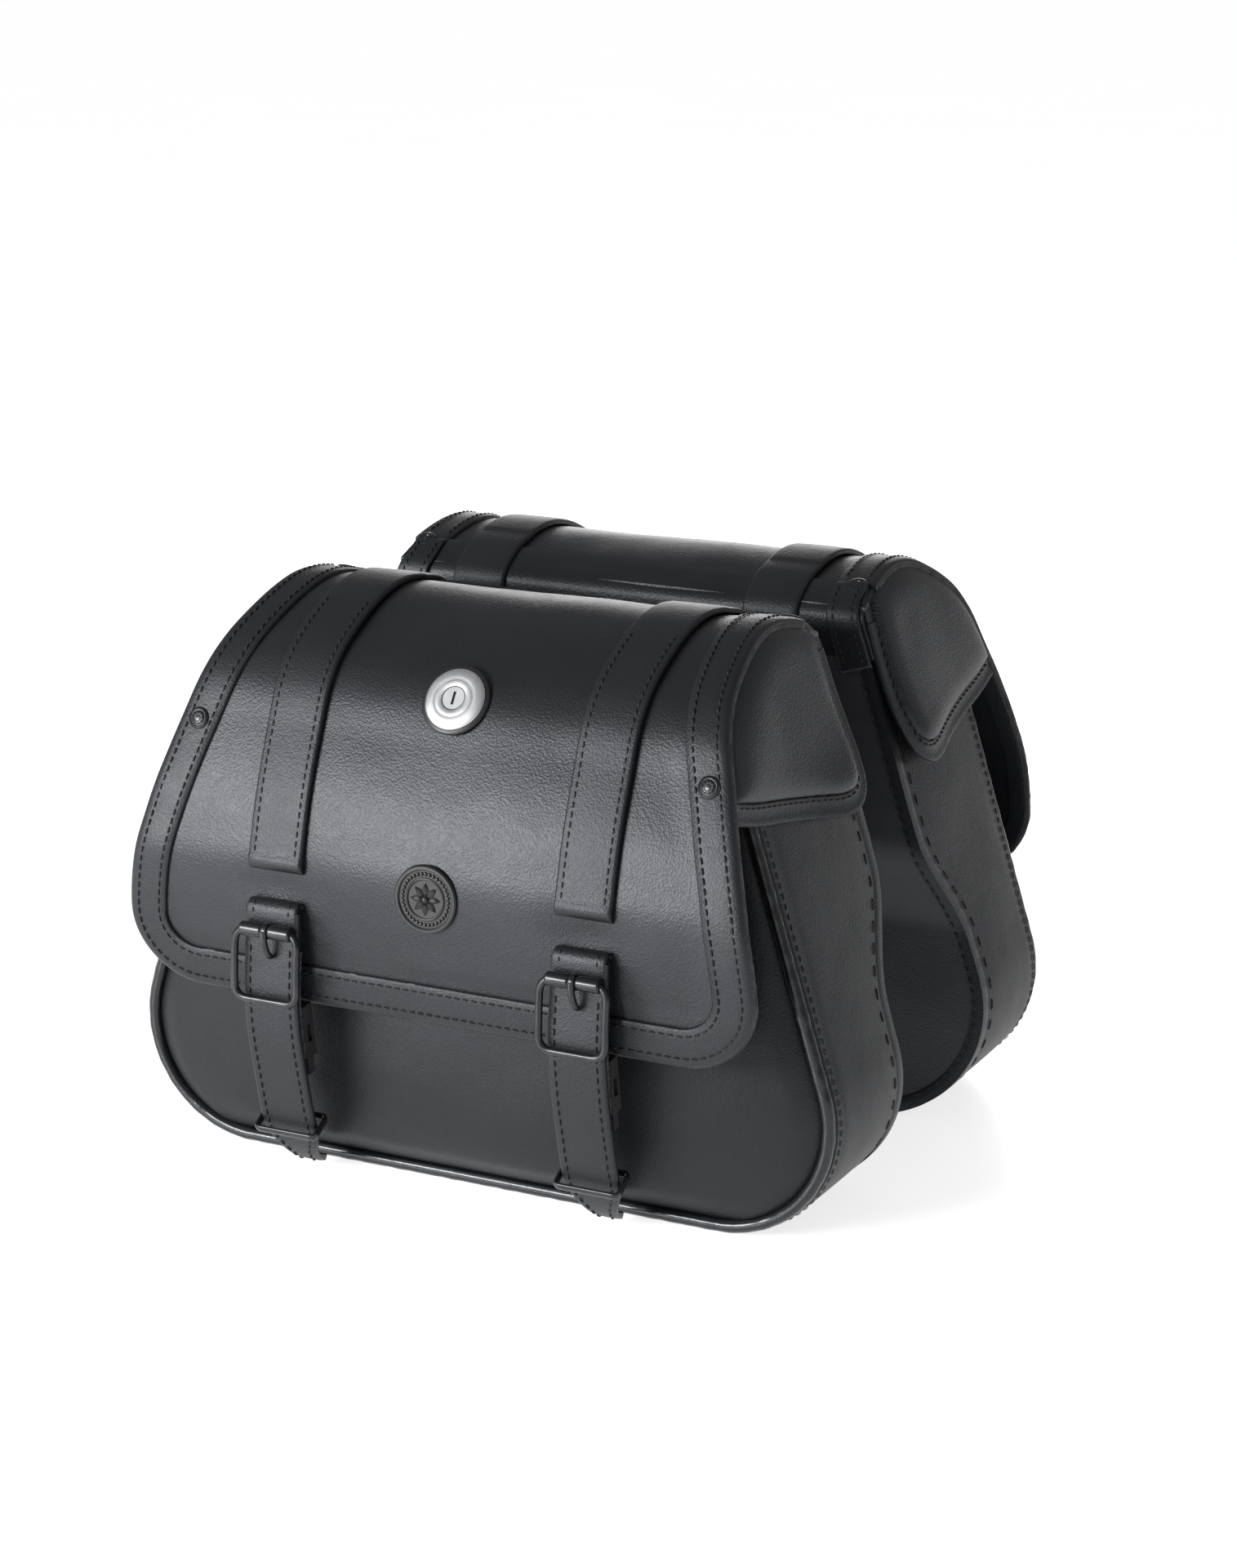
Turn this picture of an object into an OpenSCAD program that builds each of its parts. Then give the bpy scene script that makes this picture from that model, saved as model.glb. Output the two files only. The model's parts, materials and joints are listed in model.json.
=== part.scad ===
// Pair of motorcycle saddlebags, worn back to back over the rear wheel.
// Each bag is a leather shell with a hinged lid, two buckled straps with quick-release clips and a
// cam lock. The two bags are mirror images in Y. Every module draws the bag on the +Y side:
// X runs along the bag, Y points away from the wheel and Z is up. Millimetres.

/* [Bag body] */
// Half length of the body where the sides meet the mouth
mouth_half = 137; // [130:1:145]
// Height of the plane that mouth_half is measured in
mouth_z = 290; // [285:1:295]
// Lean of the two ends, in degrees from vertical
end_lean = 17.4; // [16:0.2:18]
// Radius of the two bottom corners
corner_r = 65; // [50:1:75]
// Leather thickness of the panels
leather = 3; // [2.5:0.5:3.5]
// Distance from the mid-plane to the upper back panel
back_y = 28; // [27:1:30]
// Distance from the mid-plane to the lower back panel, inside the shock cut-out
cutout_y = 58; // [52:1:62]
// Distance from the mid-plane to the piping on the front edge
piping_y = 142; // [140:1:144]
// Radius of the piping
piping_r = 3.75; // [3:0.25:4]
// Fullness of the front panel at its middle
front_bulge = 26; // [10:1:28]
// Top edge of the front panel, under the lid
front_top = 240; // [232:1:242]
// Top edge of the gusset, under the lid
gusset_top = 270; // [250:1:274]

/* [Lid] */
// Height of the hinge line
hinge_z = 286.5; // [286:0.5:287]
// Gap between the ends of the body and the lid's end caps
ear_gap = 5; // [4:0.5:7]
// Width of the sewn binding round the lid
binding_w = 21; // [16:1:24]
// Width of the two lid straps and the two buckle straps
strap_w = 32; // [28:1:36]
// Thickness of the straps
strap_t = 3.5; // [3:0.25:4]
// Distance of the strap centres from the middle of the bag
strap_x = 88.8; // [84:0.2:92]

/* [Hardware] */
// Outer width of the buckle frame
buckle_w = 41; // [40:1:44]
// Diameter of the buckle frame's wire
buckle_wire = 4; // [4:0.5:5]
// Diameter of the lock's face
lock_face = 33; // [28:1:36]
// Length of the lock cam from its centre
cam_reach = 20; // [16:1:20]
// Diameter of the badge
badge_d = 36; // [30:1:40]

/* [Mounting] */
// Length between the mounting holes
mount_x = 230; // [228:1:232]
// Height between the mounting holes
mount_z = 65; // [55:1:67]
// Height of the lower mounting holes
mount_low = 180; // [178:1:190]
// Radius of the grommets' bores
mount_r = 4.25; // [3.25:0.25:4.5]
// Width of each yoke strap
yoke_w = 50; // [40:1:52]
// Distance of the yoke straps from the middle
yoke_x = 40; // [38:1:42]

/* [Hidden] */
$fn = 48;
fit = 0.05;
slack = 0.1;
leather_colour = "#26272a";
edge_colour = "#1b1b1d";
metal_colour = "#2e2f31";
chrome_colour = "#d4d6d8";
plastic_colour = "#202123";

// The lid's outer surface, seen from the end as [y, z], from the hinge to the bottom edge.
lid_knots = [[back_y - 1, hinge_z + 2.5], [50, 300], [80, 305], [108, 300], [140, 284.5], [158, 267], [169, 243],
             [179, 218], [186, 195], [190.5, 172], [189, 138], [184, 104]];
// The inner face of a buckle strap, as [y, z], from its top end to the tip of its tail.
strap_knots = [[191.6, 170], [194, 160], [194.8, 145], [197, 125], [198, 108], [195.5, 85],
               [190, 60], [182.5, 33], [170, 14], [152.5, 5]];
// The outer face of the back panel, as [y, z], from the top down.
back_knots = [[back_y, 284.5], [back_y, 156], [cutout_y, 118], [cutout_y, leather + slack]];
steps = 5;

lock_knot = 5;
badge_knot = 9;
ear_t = 6;
lid_cut_z = 165;
lid_low = 104;
lid_corner_r = 42;
lock_tilt = 33.4;
lock_bore = 6;
lock_barrel = 9.5;
barrel_depth = 20;
cam_depth = 22;
cam_t = 2;
cam_w = 9;
striker_r = 2;
striker_half = 20;
bar_y = 202.4;
bar_z = 145;
buckle_drop = 37;
buckle_tilt = 3.9;
sleeve_r = 3.6;
sleeve_half = 14.5;
prong_r = 1.5;
prong_length = 18.5;
prong_gap = 2.6;
hole_r = 3;
clip_y = 191.2;
clip_z = 66;
clip_tilt = 9;
clip_half = 16.5;
keeper_wire = 1.7;
keeper_half = 17.85;
plate_t = 2.5;
screw_r = 2.5;
yoke_top = 250;
yoke_bottom = 186;
yoke_screw_z = [200, 226];
grommet_wall = 2;
grommet_flange = 9;
flange_t = 1.2;
rivet_lift = 1.9;
hinge_strap_z = 238;
stiffener_low = 162;
stiffener_half = 128;
floor_half = 130;
wide = 300;
deep = 240;

// A corner of a polygon, rounded with radius r between the points a and c.
function unit(v) = v / norm(v);
function arc_corner(a, b, c, r, n = 10) =
    let (u = unit(a - b), v = unit(c - b), half = acos(u * v) / 2,
         centre = b + unit(u + v) * r / sin(half),
         p = b + u * r / tan(half) - centre, q = b + v * r / tan(half) - centre,
         turn = 180 - 2 * half, way = sign(p[0] * q[1] - p[1] * q[0]))
    [for (i = [0 : n]) let (t = way * turn * i / n)
        centre + [p[0] * cos(t) - p[1] * sin(t), p[0] * sin(t) + p[1] * cos(t)]];

// A smooth curve through the knots, with a fixed number of steps between them.
function knot(k, i) = i < 0 ? 2 * k[0] - k[1] : i >= len(k) ? 2 * k[i - 1] - k[i - 2] : k[i];
function blend4(a, b, c, d, t) =
    0.5 * (2 * b + (c - a) * t + (2 * a - 5 * b + 4 * c - d) * t * t + (3 * b - a - 3 * c + d) * t * t * t);
function spline(k, n = steps) = concat(
    [for (i = [0 : len(k) - 2], j = [0 : n - 1])
        blend4(knot(k, i - 1), k[i], k[i + 1], knot(k, i + 2), j / n)], [k[len(k) - 1]]);
function along(p, i) = unit(p[min(i + 1, len(p) - 1)] - p[max(i - 1, 0)]);
function normal(p, i) = let (t = along(p, i)) [-t[1], t[0]];
// The cross-section between two offsets from a curve, measured to its left.
function ribbon(p, low, high) = concat(
    [for (i = [0 : len(p) - 1]) p[i] + low * normal(p, i)],
    [for (i = [len(p) - 1 : -1 : 0]) p[i] + high * normal(p, i)]);
function part_of(p, first, last) = [for (i = [first : last]) p[i]];
function flip(p) = [for (i = [len(p) - 1 : -1 : 0]) [-p[i][0], p[i][1]]];

lid_path = spline(lid_knots);
strap_path = spline(strap_knots);

// Half length of the body at a height, with its ends moved inwards by inset.
function body_half(z, inset = 0) = mouth_half + (mouth_z - z) * tan(end_lean) - inset / cos(end_lean);
function body_outline(inset = 0, top = mouth_z) =
    let (side = concat([[body_half(top, inset), top]],
                       arc_corner([body_half(top, inset), top], [body_half(inset, inset), inset],
                                  [0, inset], corner_r - inset)))
    concat(side, flip(side));
function lid_half(z) = body_half(z, -ear_gap);
function lid_outline(inset = 0) =
    let (top = 330, low = lid_low + inset, x0 = lid_half(top) - inset, x1 = lid_half(lid_cut_z) - inset,
         side = concat([[x0, top]],
                       arc_corner([x0, top], [x1, lid_cut_z], [x1, low], 90, 6),
                       arc_corner([x1, lid_cut_z], [x1, low], [0, low], lid_corner_r - inset)))
    concat(side, flip(side));

// Extrudes a [y, z] section along X, and an [x, z] section along Y.
module along_x(points, half, centre = 0)
    translate([centre - half, 0, 0]) rotate([90, 0, 90]) linear_extrude(2 * half) polygon(points);
module along_y(points, y0, y1)
    translate([0, y1, 0]) rotate([90, 0, 0]) linear_extrude(y1 - y0) polygon(points);
module both_ends() { children(); mirror([1, 0, 0]) children(); }
module rod_x(r, half) rotate([0, 90, 0]) cylinder(r = r, h = 2 * half, center = true);
module rod_y(r, h) rotate([-90, 0, 0]) cylinder(r = r, h = h);
// Places its children on the lid's surface at a point of the lid's curve, with Z pointing out.
module on_lid(i, x, lift = 0) {
    p = lid_path[i] + lift * normal(lid_path, i);
    n = normal(lid_path, i);
    translate([x, p[0], p[1]]) rotate([-atan2(n[0], n[1]), 0, 0]) children();
}
module lock_frame() on_lid(lock_knot * steps, 0) children();
module clip_frame(x) translate([x, clip_y, clip_z]) rotate([-clip_tilt, 0, 0]) children();

// A closed tube of a rounded rectangle in the XZ plane, hanging from a bar on the X axis.
module wire_corner(r, bend) rotate([90, 0, 0]) rotate_extrude(angle = 90) translate([bend, 0]) circle(r);
module wire_loop(half, drop, r, bend, low_bend) {
    rod_x(r, half - bend);
    translate([0, 0, -drop]) rod_x(r, half - low_bend);
    both_ends() {
        translate([half, 0, low_bend - drop]) cylinder(r = r, h = drop - bend - low_bend);
        translate([half - bend, 0, -bend]) wire_corner(r, bend);
        translate([half - low_bend, 0, low_bend - drop]) rotate([0, 90, 0]) wire_corner(r, low_bend);
    }
}

// ---- Body ----
module behind_back() {
    far = 20;
    along_x(concat(back_knots, [[cutout_y, -1], [back_y - far, -1], [back_y - far, mouth_z + far],
                                [back_y, mouth_z + far]]), wide);
}

module gusset() color(leather_colour) difference() {
    along_y(body_outline(0, gusset_top), back_y, piping_y - piping_r);
    along_y(body_outline(leather, gusset_top + 10), 0, 200);
    behind_back();
}

module back_panel() color(leather_colour) difference() {
    intersection() {
        along_x(ribbon(back_knots, 0, leather), wide);
        along_y(body_outline(leather + slack), 0, 200);
    }
    grommet_holes();
    yoke_holes(screw_r + fit);
}

module mount_holes(r)
    for (x = [-1, 1], z = [0, 1])
        translate([x * mount_x / 2, 0, mount_low + z * mount_z]) rod_y(r, 100);
module grommet_holes() mount_holes(mount_r + grommet_wall + 2 * slack);
module yoke_holes(r)
    for (x = [-yoke_x, yoke_x], z = yoke_screw_z) translate([x, 0, z]) rod_y(r, 100);

// Swell of the front panel at a place across it, from -1 to 1, and a height.
function swell(u, z) =
    let (top = 214, h = z >= top ? 0 : pow(max(z, 0) / top, 0.72))
    front_bulge * pow(max(1 - u * u, 0), 0.8) * pow(sin(180 * h), 0.8);

// Half width of the front panel at a height, inside the piping's seam.
panel_inset = 2 * piping_r + 2.2;
corner_x = body_half(0) - corner_r / tan((90 - end_lean) / 2);
function panel_half(z) =
    z >= corner_r * (1 + sin(end_lean)) ? body_half(z, panel_inset) :
    corner_x + sqrt(max(0, pow(corner_r - panel_inset, 2) - pow(corner_r - z, 2)));

module front_panel() color(leather_colour) {
    columns = 26;
    rows = 22;
    low = panel_inset;
    heights = [for (j = [0 : rows]) low + (front_top - low) * pow(j / rows, 1.25)];
    grid = [for (side = [0, 1], z = heights, i = [0 : columns])
        let (u = -cos(180 * i / columns))
        [u * panel_half(z), piping_y - leather / 2 + side * leather + swell(u, z), z]];
    across = columns + 1;
    layer = across * (rows + 1);
    polyhedron(grid, concat(
        [for (j = [0 : rows - 1], i = [0 : columns - 1]) let (a = j * across + i)
            each [[a, a + across, a + 1], [a + 1, a + across, a + across + 1]]],
        [for (j = [0 : rows - 1], i = [0 : columns - 1]) let (a = layer + j * across + i)
            each [[a, a + 1, a + across], [a + 1, a + across + 1, a + across]]],
        [for (i = [0 : columns - 1], end = [0, rows]) let (a = end * across + i)
            each end == 0 ? [[a, a + 1, a + layer], [a + 1, a + 1 + layer, a + layer]]
                          : [[a, a + layer, a + 1], [a + 1, a + layer, a + 1 + layer]]],
        [for (j = [0 : rows - 1], end = [0, columns]) let (a = j * across + end)
            each end == 0 ? [[a, a + layer, a + across], [a + across, a + layer, a + across + layer]]
                          : [[a, a + across, a + layer], [a + across, a + across + layer, a + layer]]]));
}

module piping() color(edge_colour) {
    inset = piping_r + 0.6;
    z_top = 262;
    bend = corner_r - inset;
    translate([0, piping_y, inset]) rod_x(piping_r, corner_x);
    both_ends() translate([corner_x, piping_y, corner_r]) rotate([90, 0, 0]) {
        rotate([0, 0, -90]) rotate_extrude(angle = 90 + end_lean) translate([bend, 0]) circle(piping_r);
        rotate([0, 0, end_lean]) translate([bend, 0, 0]) rotate([-90, 0, 0])
            cylinder(r = piping_r, h = (z_top - corner_r - bend * sin(end_lean)) / cos(end_lean));
    }
}

module stiffeners() color(plastic_colour) {
    difference() {
        translate([-stiffener_half, back_y + leather, stiffener_low]) cube([2 * stiffener_half, plate_t, 100]);
        grommet_holes();
        yoke_holes(screw_r + fit);
    }
    translate([-floor_half, cutout_y + 8, leather]) cube([2 * floor_half, 66, plate_t]);
}

module grommets() color(metal_colour)
    for (x = [-1, 1], z = [0, 1])
        translate([x * mount_x / 2, back_y, mount_low + z * mount_z]) rotate([-90, 0, 0])
            difference() {
                depth = leather + plate_t;
                union() {
                    for (z = [-flange_t, depth]) translate([0, 0, z]) cylinder(r = grommet_flange, h = flange_t);
                    cylinder(r = mount_r + grommet_wall, h = depth);
                }
                translate([0, 0, -5]) cylinder(r = mount_r, h = 20);
            }

module hinge_straps() color(leather_colour) both_ends() {
    translate([strap_x - strap_w / 2, back_y - strap_t, hinge_strap_z]) cube([strap_w, strap_t, 44]);
    translate([124, back_y - strap_t, hinge_strap_z + 20]) cube([16, strap_t, 24]);
}

module lock_striker() color(metal_colour) {
    p = lid_path[lock_knot * steps];
    n = normal(lid_path, lock_knot * steps);
    rise = cam_t / 2 + 0.6 + striker_r - cam_depth;
    reach = cam_reach - 4;
    y = p[0] + n[1] * reach + n[0] * rise;
    z = p[1] - n[0] * reach + n[1] * rise;
    foot = piping_y + leather / 2 + slack;
    translate([0, y, z]) rod_x(striker_r, striker_half + 2);
    both_ends() {
        translate([striker_half - 2, foot + 2, z - 3]) cube([4, y - foot - 2, 5]);
        translate([striker_half - 6, foot, front_top - 18]) cube([12, 2, z - front_top + 18]);
    }
}

// ---- Lid ----
module lid_panel() color(leather_colour) difference() {
    intersection() {
        along_x(ribbon(lid_path, -leather, 0), wide);
        along_y(lid_outline(), 0, deep);
    }
    lock_frame() cylinder(r = lock_barrel + slack, h = 60, center = true);
}

module lid_binding() color(leather_colour) difference() {
    intersection() {
        along_x(ribbon(lid_path, 0, 1.5), wide);
        along_y(lid_outline(), 0, deep);
    }
    along_y(lid_outline(binding_w), -deep, 2 * deep);
}

// An end cap over each end of the mouth, sewn to the lid's edge.
ear_outline = concat(
    part_of(lid_path, 1, 6 * steps),
    [[165, 227]], arc_corner([165, 227], [31, 208], [31, 289], 24), [[31, 289]]);
module lid_ears() color(leather_colour) both_ends() intersection() {
    along_x(ear_outline, wide);
    along_y([[body_half(200, -ear_gap), 200], [body_half(200, -ear_gap - ear_t), 200],
             [body_half(310, -ear_gap - ear_t), 310], [body_half(310, -ear_gap), 310]], 0, deep);
}

module lid_straps() color(leather_colour)
    for (x = [-strap_x, strap_x])
        along_x(ribbon(part_of(lid_path, 0, badge_knot * steps), 0, strap_t), strap_w / 2, x);

module lid_rivets() color(metal_colour) both_ends() {
    for (place = [[6 * steps, 146.7], [4, 132]])
        on_lid(place[0], place[1], rivet_lift) {
            cylinder(r = 5.75, h = 1.2);
            translate([0, 0, 1.2]) cylinder(r = 4.2, h = 0.7);
        }
}

module badge() color(edge_colour) on_lid(badge_knot * steps, 0, 0.2) {
    cylinder(r = badge_d / 2, h = 2.2);
    translate([0, 0, 2.2]) difference() {
        cylinder(r = badge_d / 2 - 1, h = 1);
        translate([0, 0, -1]) cylinder(r = badge_d / 2 - 4, h = 3);
    }
}

module lock_housing() color(chrome_colour) lock_frame() {
    difference() {
        union() {
            translate([0, 0, 0.6]) cylinder(r = lock_face / 2 + 2, h = 1);
            translate([0, 0, 1.6]) cylinder(r1 = lock_face / 2, r2 = lock_face / 2 - 2.5, h = 2.4);
            translate([0, 0, -barrel_depth]) cylinder(r = lock_barrel, h = barrel_depth + 1);
        }
        translate([0, 0, -barrel_depth - 1]) cylinder(r = lock_bore + fit, h = barrel_depth + 10);
    }
    translate([0, 0, -9]) difference() {
        cylinder(r = 14, h = 4, $fn = 6);
        translate([0, 0, -1]) cylinder(r = lock_barrel + slack, h = 6);
    }
}

module lock_core() color(chrome_colour) lock_frame() difference() {
    translate([0, 0, -cam_depth + cam_t / 2]) cylinder(r = lock_bore, h = cam_depth - cam_t / 2 + 4.4);
    translate([-0.75, -3.5, 1]) cube([1.5, 7, 5]);
}

module lock_cam() color(metal_colour) lock_frame() translate([0, 0, -cam_depth - cam_t / 2]) {
    cylinder(r = lock_bore, h = cam_t);
    translate([0, -cam_w / 2, 0]) cube([cam_reach - cam_w / 2, cam_w, cam_t]);
    translate([cam_reach - cam_w / 2, 0, 0]) cylinder(r = cam_w / 2, h = cam_t);
    translate([0, 0, -2.4]) cylinder(r = 4, h = 2.4, $fn = 6);
}

// ---- Buckled straps ----
module tail_shape(x) {
    tip_z = 3;
    shoulder = 22;
    translate([x, 0, 0])
        along_y([[-strap_w / 2, 200], [-strap_w / 2, shoulder], [-5, tip_z], [5, tip_z],
                 [strap_w / 2, shoulder], [strap_w / 2, 200]], 140, 220);
}
module buckle_straps() color(leather_colour)
    for (x = [-strap_x, strap_x]) difference() {
        intersection() {
            along_x(ribbon(strap_path, 0, strap_t), strap_w / 2, x);
            tail_shape(x);
        }
        translate([x, 180, bar_z - prong_length]) rod_y(hole_r, 40);
    }

module buckle_tabs() color(leather_colour)
    for (x = [-strap_x, strap_x])
        along_x(ribbon(part_of(strap_path, 0, steps + 3), strap_t, 2 * strap_t - 0.5), strap_w / 2 - 1, x);

module buckle_sleeves() color(metal_colour)
    for (x = [-strap_x, strap_x], side = [-1, 1])
        translate([x + side * (sleeve_half + prong_gap) / 2, bar_y, bar_z]) difference() {
            rod_x(sleeve_r, (sleeve_half - prong_gap) / 2);
            rod_x(buckle_wire / 2 + fit, sleeve_half);
        }

module buckle_frame(x) color(metal_colour)
    translate([x, bar_y, bar_z]) rotate([buckle_tilt, 0, 0])
        wire_loop(buckle_w / 2 - buckle_wire / 2, buckle_drop, buckle_wire / 2, 3.2, 6.5);

module prong(x) color(metal_colour)
    translate([x, bar_y, bar_z]) difference() {
        union() {
            rod_x(sleeve_r - 0.1, prong_gap - 0.3);
            translate([0, 0.6, -prong_length]) cylinder(r = prong_r, h = prong_length);
            translate([0, -3.4, -prong_length]) rod_y(prong_r - 0.1, 4);
            translate([0, 0.6, -prong_length]) sphere(prong_r);
        }
        rod_x(buckle_wire / 2 + fit, 10);
    }

// The keeper's rectangular ring leans back from the strap's front towards the bag.
module strap_keepers() color(metal_colour)
    for (x = [-strap_x, strap_x])
        translate([x, 189, 31]) rotate([-118, 0, 0])
            wire_loop(keeper_half, 17, keeper_wire, 3, 3);

module clip_sockets() color(plastic_colour)
    for (x = [-strap_x, strap_x]) clip_frame(x) difference() {
        translate([-clip_half, -9.5, 8]) cube([2 * clip_half, 8.5, 30]);
        translate([-14, -7.6, 7]) cube([28, 4.2, 28]);
        both_ends() translate([10, -7.6, 17]) cube([10, 4.2, 10]);
    }

module clip_plug(x) color(plastic_colour) clip_frame(x) {
    translate([-15, -8.2, -2]) cube([30, 5.2, 8.5]);
    translate([-3, -7, 6]) cube([6, 3, 26]);
    both_ends() {
        translate([8.5, -7, 6]) cube([3.5, 3, 22]);
        translate([8.5, -7, 18]) cube([5, 3, 8]);
    }
}

// ---- Yoke between the bags ----
module yoke_straps() color(leather_colour)
    for (x = [-yoke_x, yoke_x]) difference() {
        translate([x - yoke_w / 2, 0, 0]) {
            translate([0, -back_y, yoke_top - leather]) cube([yoke_w, 2 * back_y, leather]);
            for (side = [0, 1]) mirror([0, side, 0])
                translate([0, back_y - leather, yoke_bottom]) cube([yoke_w, leather, yoke_top - yoke_bottom - 1]);
        }
        for (z = yoke_screw_z) translate([x, -50, z]) rod_y(screw_r + fit, 100);
    }

module yoke_screws() color(metal_colour)
    for (x = [-yoke_x, yoke_x], z = yoke_screw_z, side = [0, 1]) mirror([0, side, 0])
        translate([x, back_y - leather, z]) {
            translate([0, -2, 0]) rod_y(5, 2);
            rod_y(screw_r, 2 * leather + plate_t + 3);
            translate([0, 2 * leather + plate_t, 0]) rotate([-90, 0, 0]) difference() {
                cylinder(r = 4.6, h = 4, $fn = 6);
                translate([0, 0, -1]) cylinder(r = screw_r + fit, h = 6);
            }
        }

// ---- The two bags ----
module left() mirror([0, 1, 0]) children();
module right() children();

left() gusset();  // left_gusset
left() front_panel();  // left_front_panel
left() back_panel();  // left_back_panel
left() piping();  // left_piping
left() stiffeners();  // left_stiffeners
left() grommets();  // left_grommets
left() hinge_straps();  // left_hinge_straps
left() lock_striker();  // left_lock_striker
left() lid_panel();  // left_lid_panel
left() lid_binding();  // left_lid_binding
left() lid_ears();  // left_lid_ears
left() lid_straps();  // left_lid_straps
left() lid_rivets();  // left_lid_rivets
left() badge();  // left_badge
left() lock_housing();  // left_lock_housing
left() lock_core();  // left_lock_core
left() lock_cam();  // left_lock_cam
left() buckle_straps();  // left_buckle_straps
left() buckle_tabs();  // left_buckle_tabs
left() buckle_sleeves();  // left_buckle_sleeves
left() strap_keepers();  // left_strap_keepers
left() clip_sockets();  // left_clip_sockets
left() buckle_frame(strap_x);  // left_fore_buckle_frame
left() buckle_frame(-strap_x);  // left_aft_buckle_frame
left() prong(strap_x);  // left_fore_prong
left() prong(-strap_x);  // left_aft_prong
left() clip_plug(strap_x);  // left_fore_clip_plug
left() clip_plug(-strap_x);  // left_aft_clip_plug
right() gusset();  // right_gusset
right() front_panel();  // right_front_panel
right() back_panel();  // right_back_panel
right() piping();  // right_piping
right() stiffeners();  // right_stiffeners
right() grommets();  // right_grommets
right() hinge_straps();  // right_hinge_straps
right() lock_striker();  // right_lock_striker
right() lid_panel();  // right_lid_panel
right() lid_binding();  // right_lid_binding
right() lid_ears();  // right_lid_ears
right() lid_straps();  // right_lid_straps
right() lid_rivets();  // right_lid_rivets
right() badge();  // right_badge
right() lock_housing();  // right_lock_housing
right() lock_core();  // right_lock_core
right() lock_cam();  // right_lock_cam
right() buckle_straps();  // right_buckle_straps
right() buckle_tabs();  // right_buckle_tabs
right() buckle_sleeves();  // right_buckle_sleeves
right() strap_keepers();  // right_strap_keepers
right() clip_sockets();  // right_clip_sockets
right() buckle_frame(strap_x);  // right_fore_buckle_frame
right() buckle_frame(-strap_x);  // right_aft_buckle_frame
right() prong(strap_x);  // right_fore_prong
right() prong(-strap_x);  // right_aft_prong
right() clip_plug(strap_x);  // right_fore_clip_plug
right() clip_plug(-strap_x);  // right_aft_clip_plug
yoke_straps();
yoke_screws();
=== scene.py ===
"""Pair of leather motorcycle saddlebags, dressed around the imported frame.

Every maker below draws one piece of the bag on the +Y side, in millimetres, and `emit` places it on
both bags, mirrored in Y for the left one. Sizes come from the frame's own boxes and joints.
"""
import json
from math import cos, pi, radians, sin, tan

import bmesh
import bpy
import numpy as np
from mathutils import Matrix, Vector, noise


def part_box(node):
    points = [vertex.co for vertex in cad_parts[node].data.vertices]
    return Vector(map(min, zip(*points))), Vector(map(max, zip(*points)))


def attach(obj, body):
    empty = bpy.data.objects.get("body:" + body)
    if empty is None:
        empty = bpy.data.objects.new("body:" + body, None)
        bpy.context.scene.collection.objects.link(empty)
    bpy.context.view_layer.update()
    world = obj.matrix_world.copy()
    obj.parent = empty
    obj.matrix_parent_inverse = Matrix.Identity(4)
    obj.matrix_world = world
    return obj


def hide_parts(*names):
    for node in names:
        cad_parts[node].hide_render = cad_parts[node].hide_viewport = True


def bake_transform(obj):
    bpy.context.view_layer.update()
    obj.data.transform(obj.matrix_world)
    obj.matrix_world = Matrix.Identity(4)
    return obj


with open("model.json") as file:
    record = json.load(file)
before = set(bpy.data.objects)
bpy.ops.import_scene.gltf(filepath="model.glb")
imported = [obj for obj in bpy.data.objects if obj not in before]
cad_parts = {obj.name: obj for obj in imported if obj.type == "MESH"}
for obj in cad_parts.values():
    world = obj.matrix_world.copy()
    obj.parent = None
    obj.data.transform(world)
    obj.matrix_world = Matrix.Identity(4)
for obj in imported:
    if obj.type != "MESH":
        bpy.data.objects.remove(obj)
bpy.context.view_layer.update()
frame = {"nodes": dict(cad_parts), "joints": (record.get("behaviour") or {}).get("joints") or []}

MM = 0.001
SIDES = {"left": -1, "right": 1}


# ---- sizes, from the frame
def box_mm(node):
    low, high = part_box(node)
    return np.array(low) / MM, np.array(high) / MM


def joint(name):
    return next(j for j in frame["joints"] if j["name"] == name)


BACK_LOW = box_mm("right_back_panel")[0]
LID_HIGH = box_mm("right_lid_panel")[1]
PIPE_LOW = box_mm("right_piping")[0]
PANEL_HIGH = box_mm("right_front_panel")[1]
BUCKLE_LOW, BUCKLE_HIGH = box_mm("right_fore_buckle_frame")
BADGE_LOW, BADGE_HIGH = box_mm("right_badge")
BAR = np.array(joint("right_fore_frame_swing")["pos_m"]) / MM

LEAN = radians(17.4)
CORNER_R = 65.0
LEATHER = 3.0
RIM_ROUND = 0.4
BACK_Y = BACK_LOW[1]
CUTOUT_Y = 58.0
MOUTH_Z = 290.0
MOUTH_HALF = 137.0
PIPING_R = 3.75
PIPING_Y = PIPE_LOW[1] + PIPING_R
EAR_GAP = 5.0
STRAP_X = BAR[0]
ENDS = (("fore", STRAP_X), ("aft", -STRAP_X))
STRAP_W = 32.0
STRAP_T = 3.5
BINDING_W = 21.0
LID_EDGE_Z = 165.0
LID_HALF = LID_HIGH[0]
LID_CORNER_R = 42.0

LID_KNOTS = [(27, 289), (50, 300), (80, 305), (108, 300), (140, 284.5), (158, 267), (169, 243),
             (179, 218), (186, 195), (190.5, 172), (189, 138), (184, 104)]
STRAP_KNOTS = [(191.6, 170), (194, 160), (194.8, 145), (197, 125), (198, 108), (195.5, 85),
               (190, 60), (182.5, 33), (170, 14), (152.5, 5)]
BACK_KNOTS = [(BACK_Y, 284.5), (BACK_Y, 230), (BACK_Y, 178), (BACK_Y + 4, 156), (CUTOUT_Y - 5, 121),
              (CUTOUT_Y, 100), (CUTOUT_Y, 60), (CUTOUT_Y - 2, 25), (CUTOUT_Y - 7, 2)]


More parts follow.
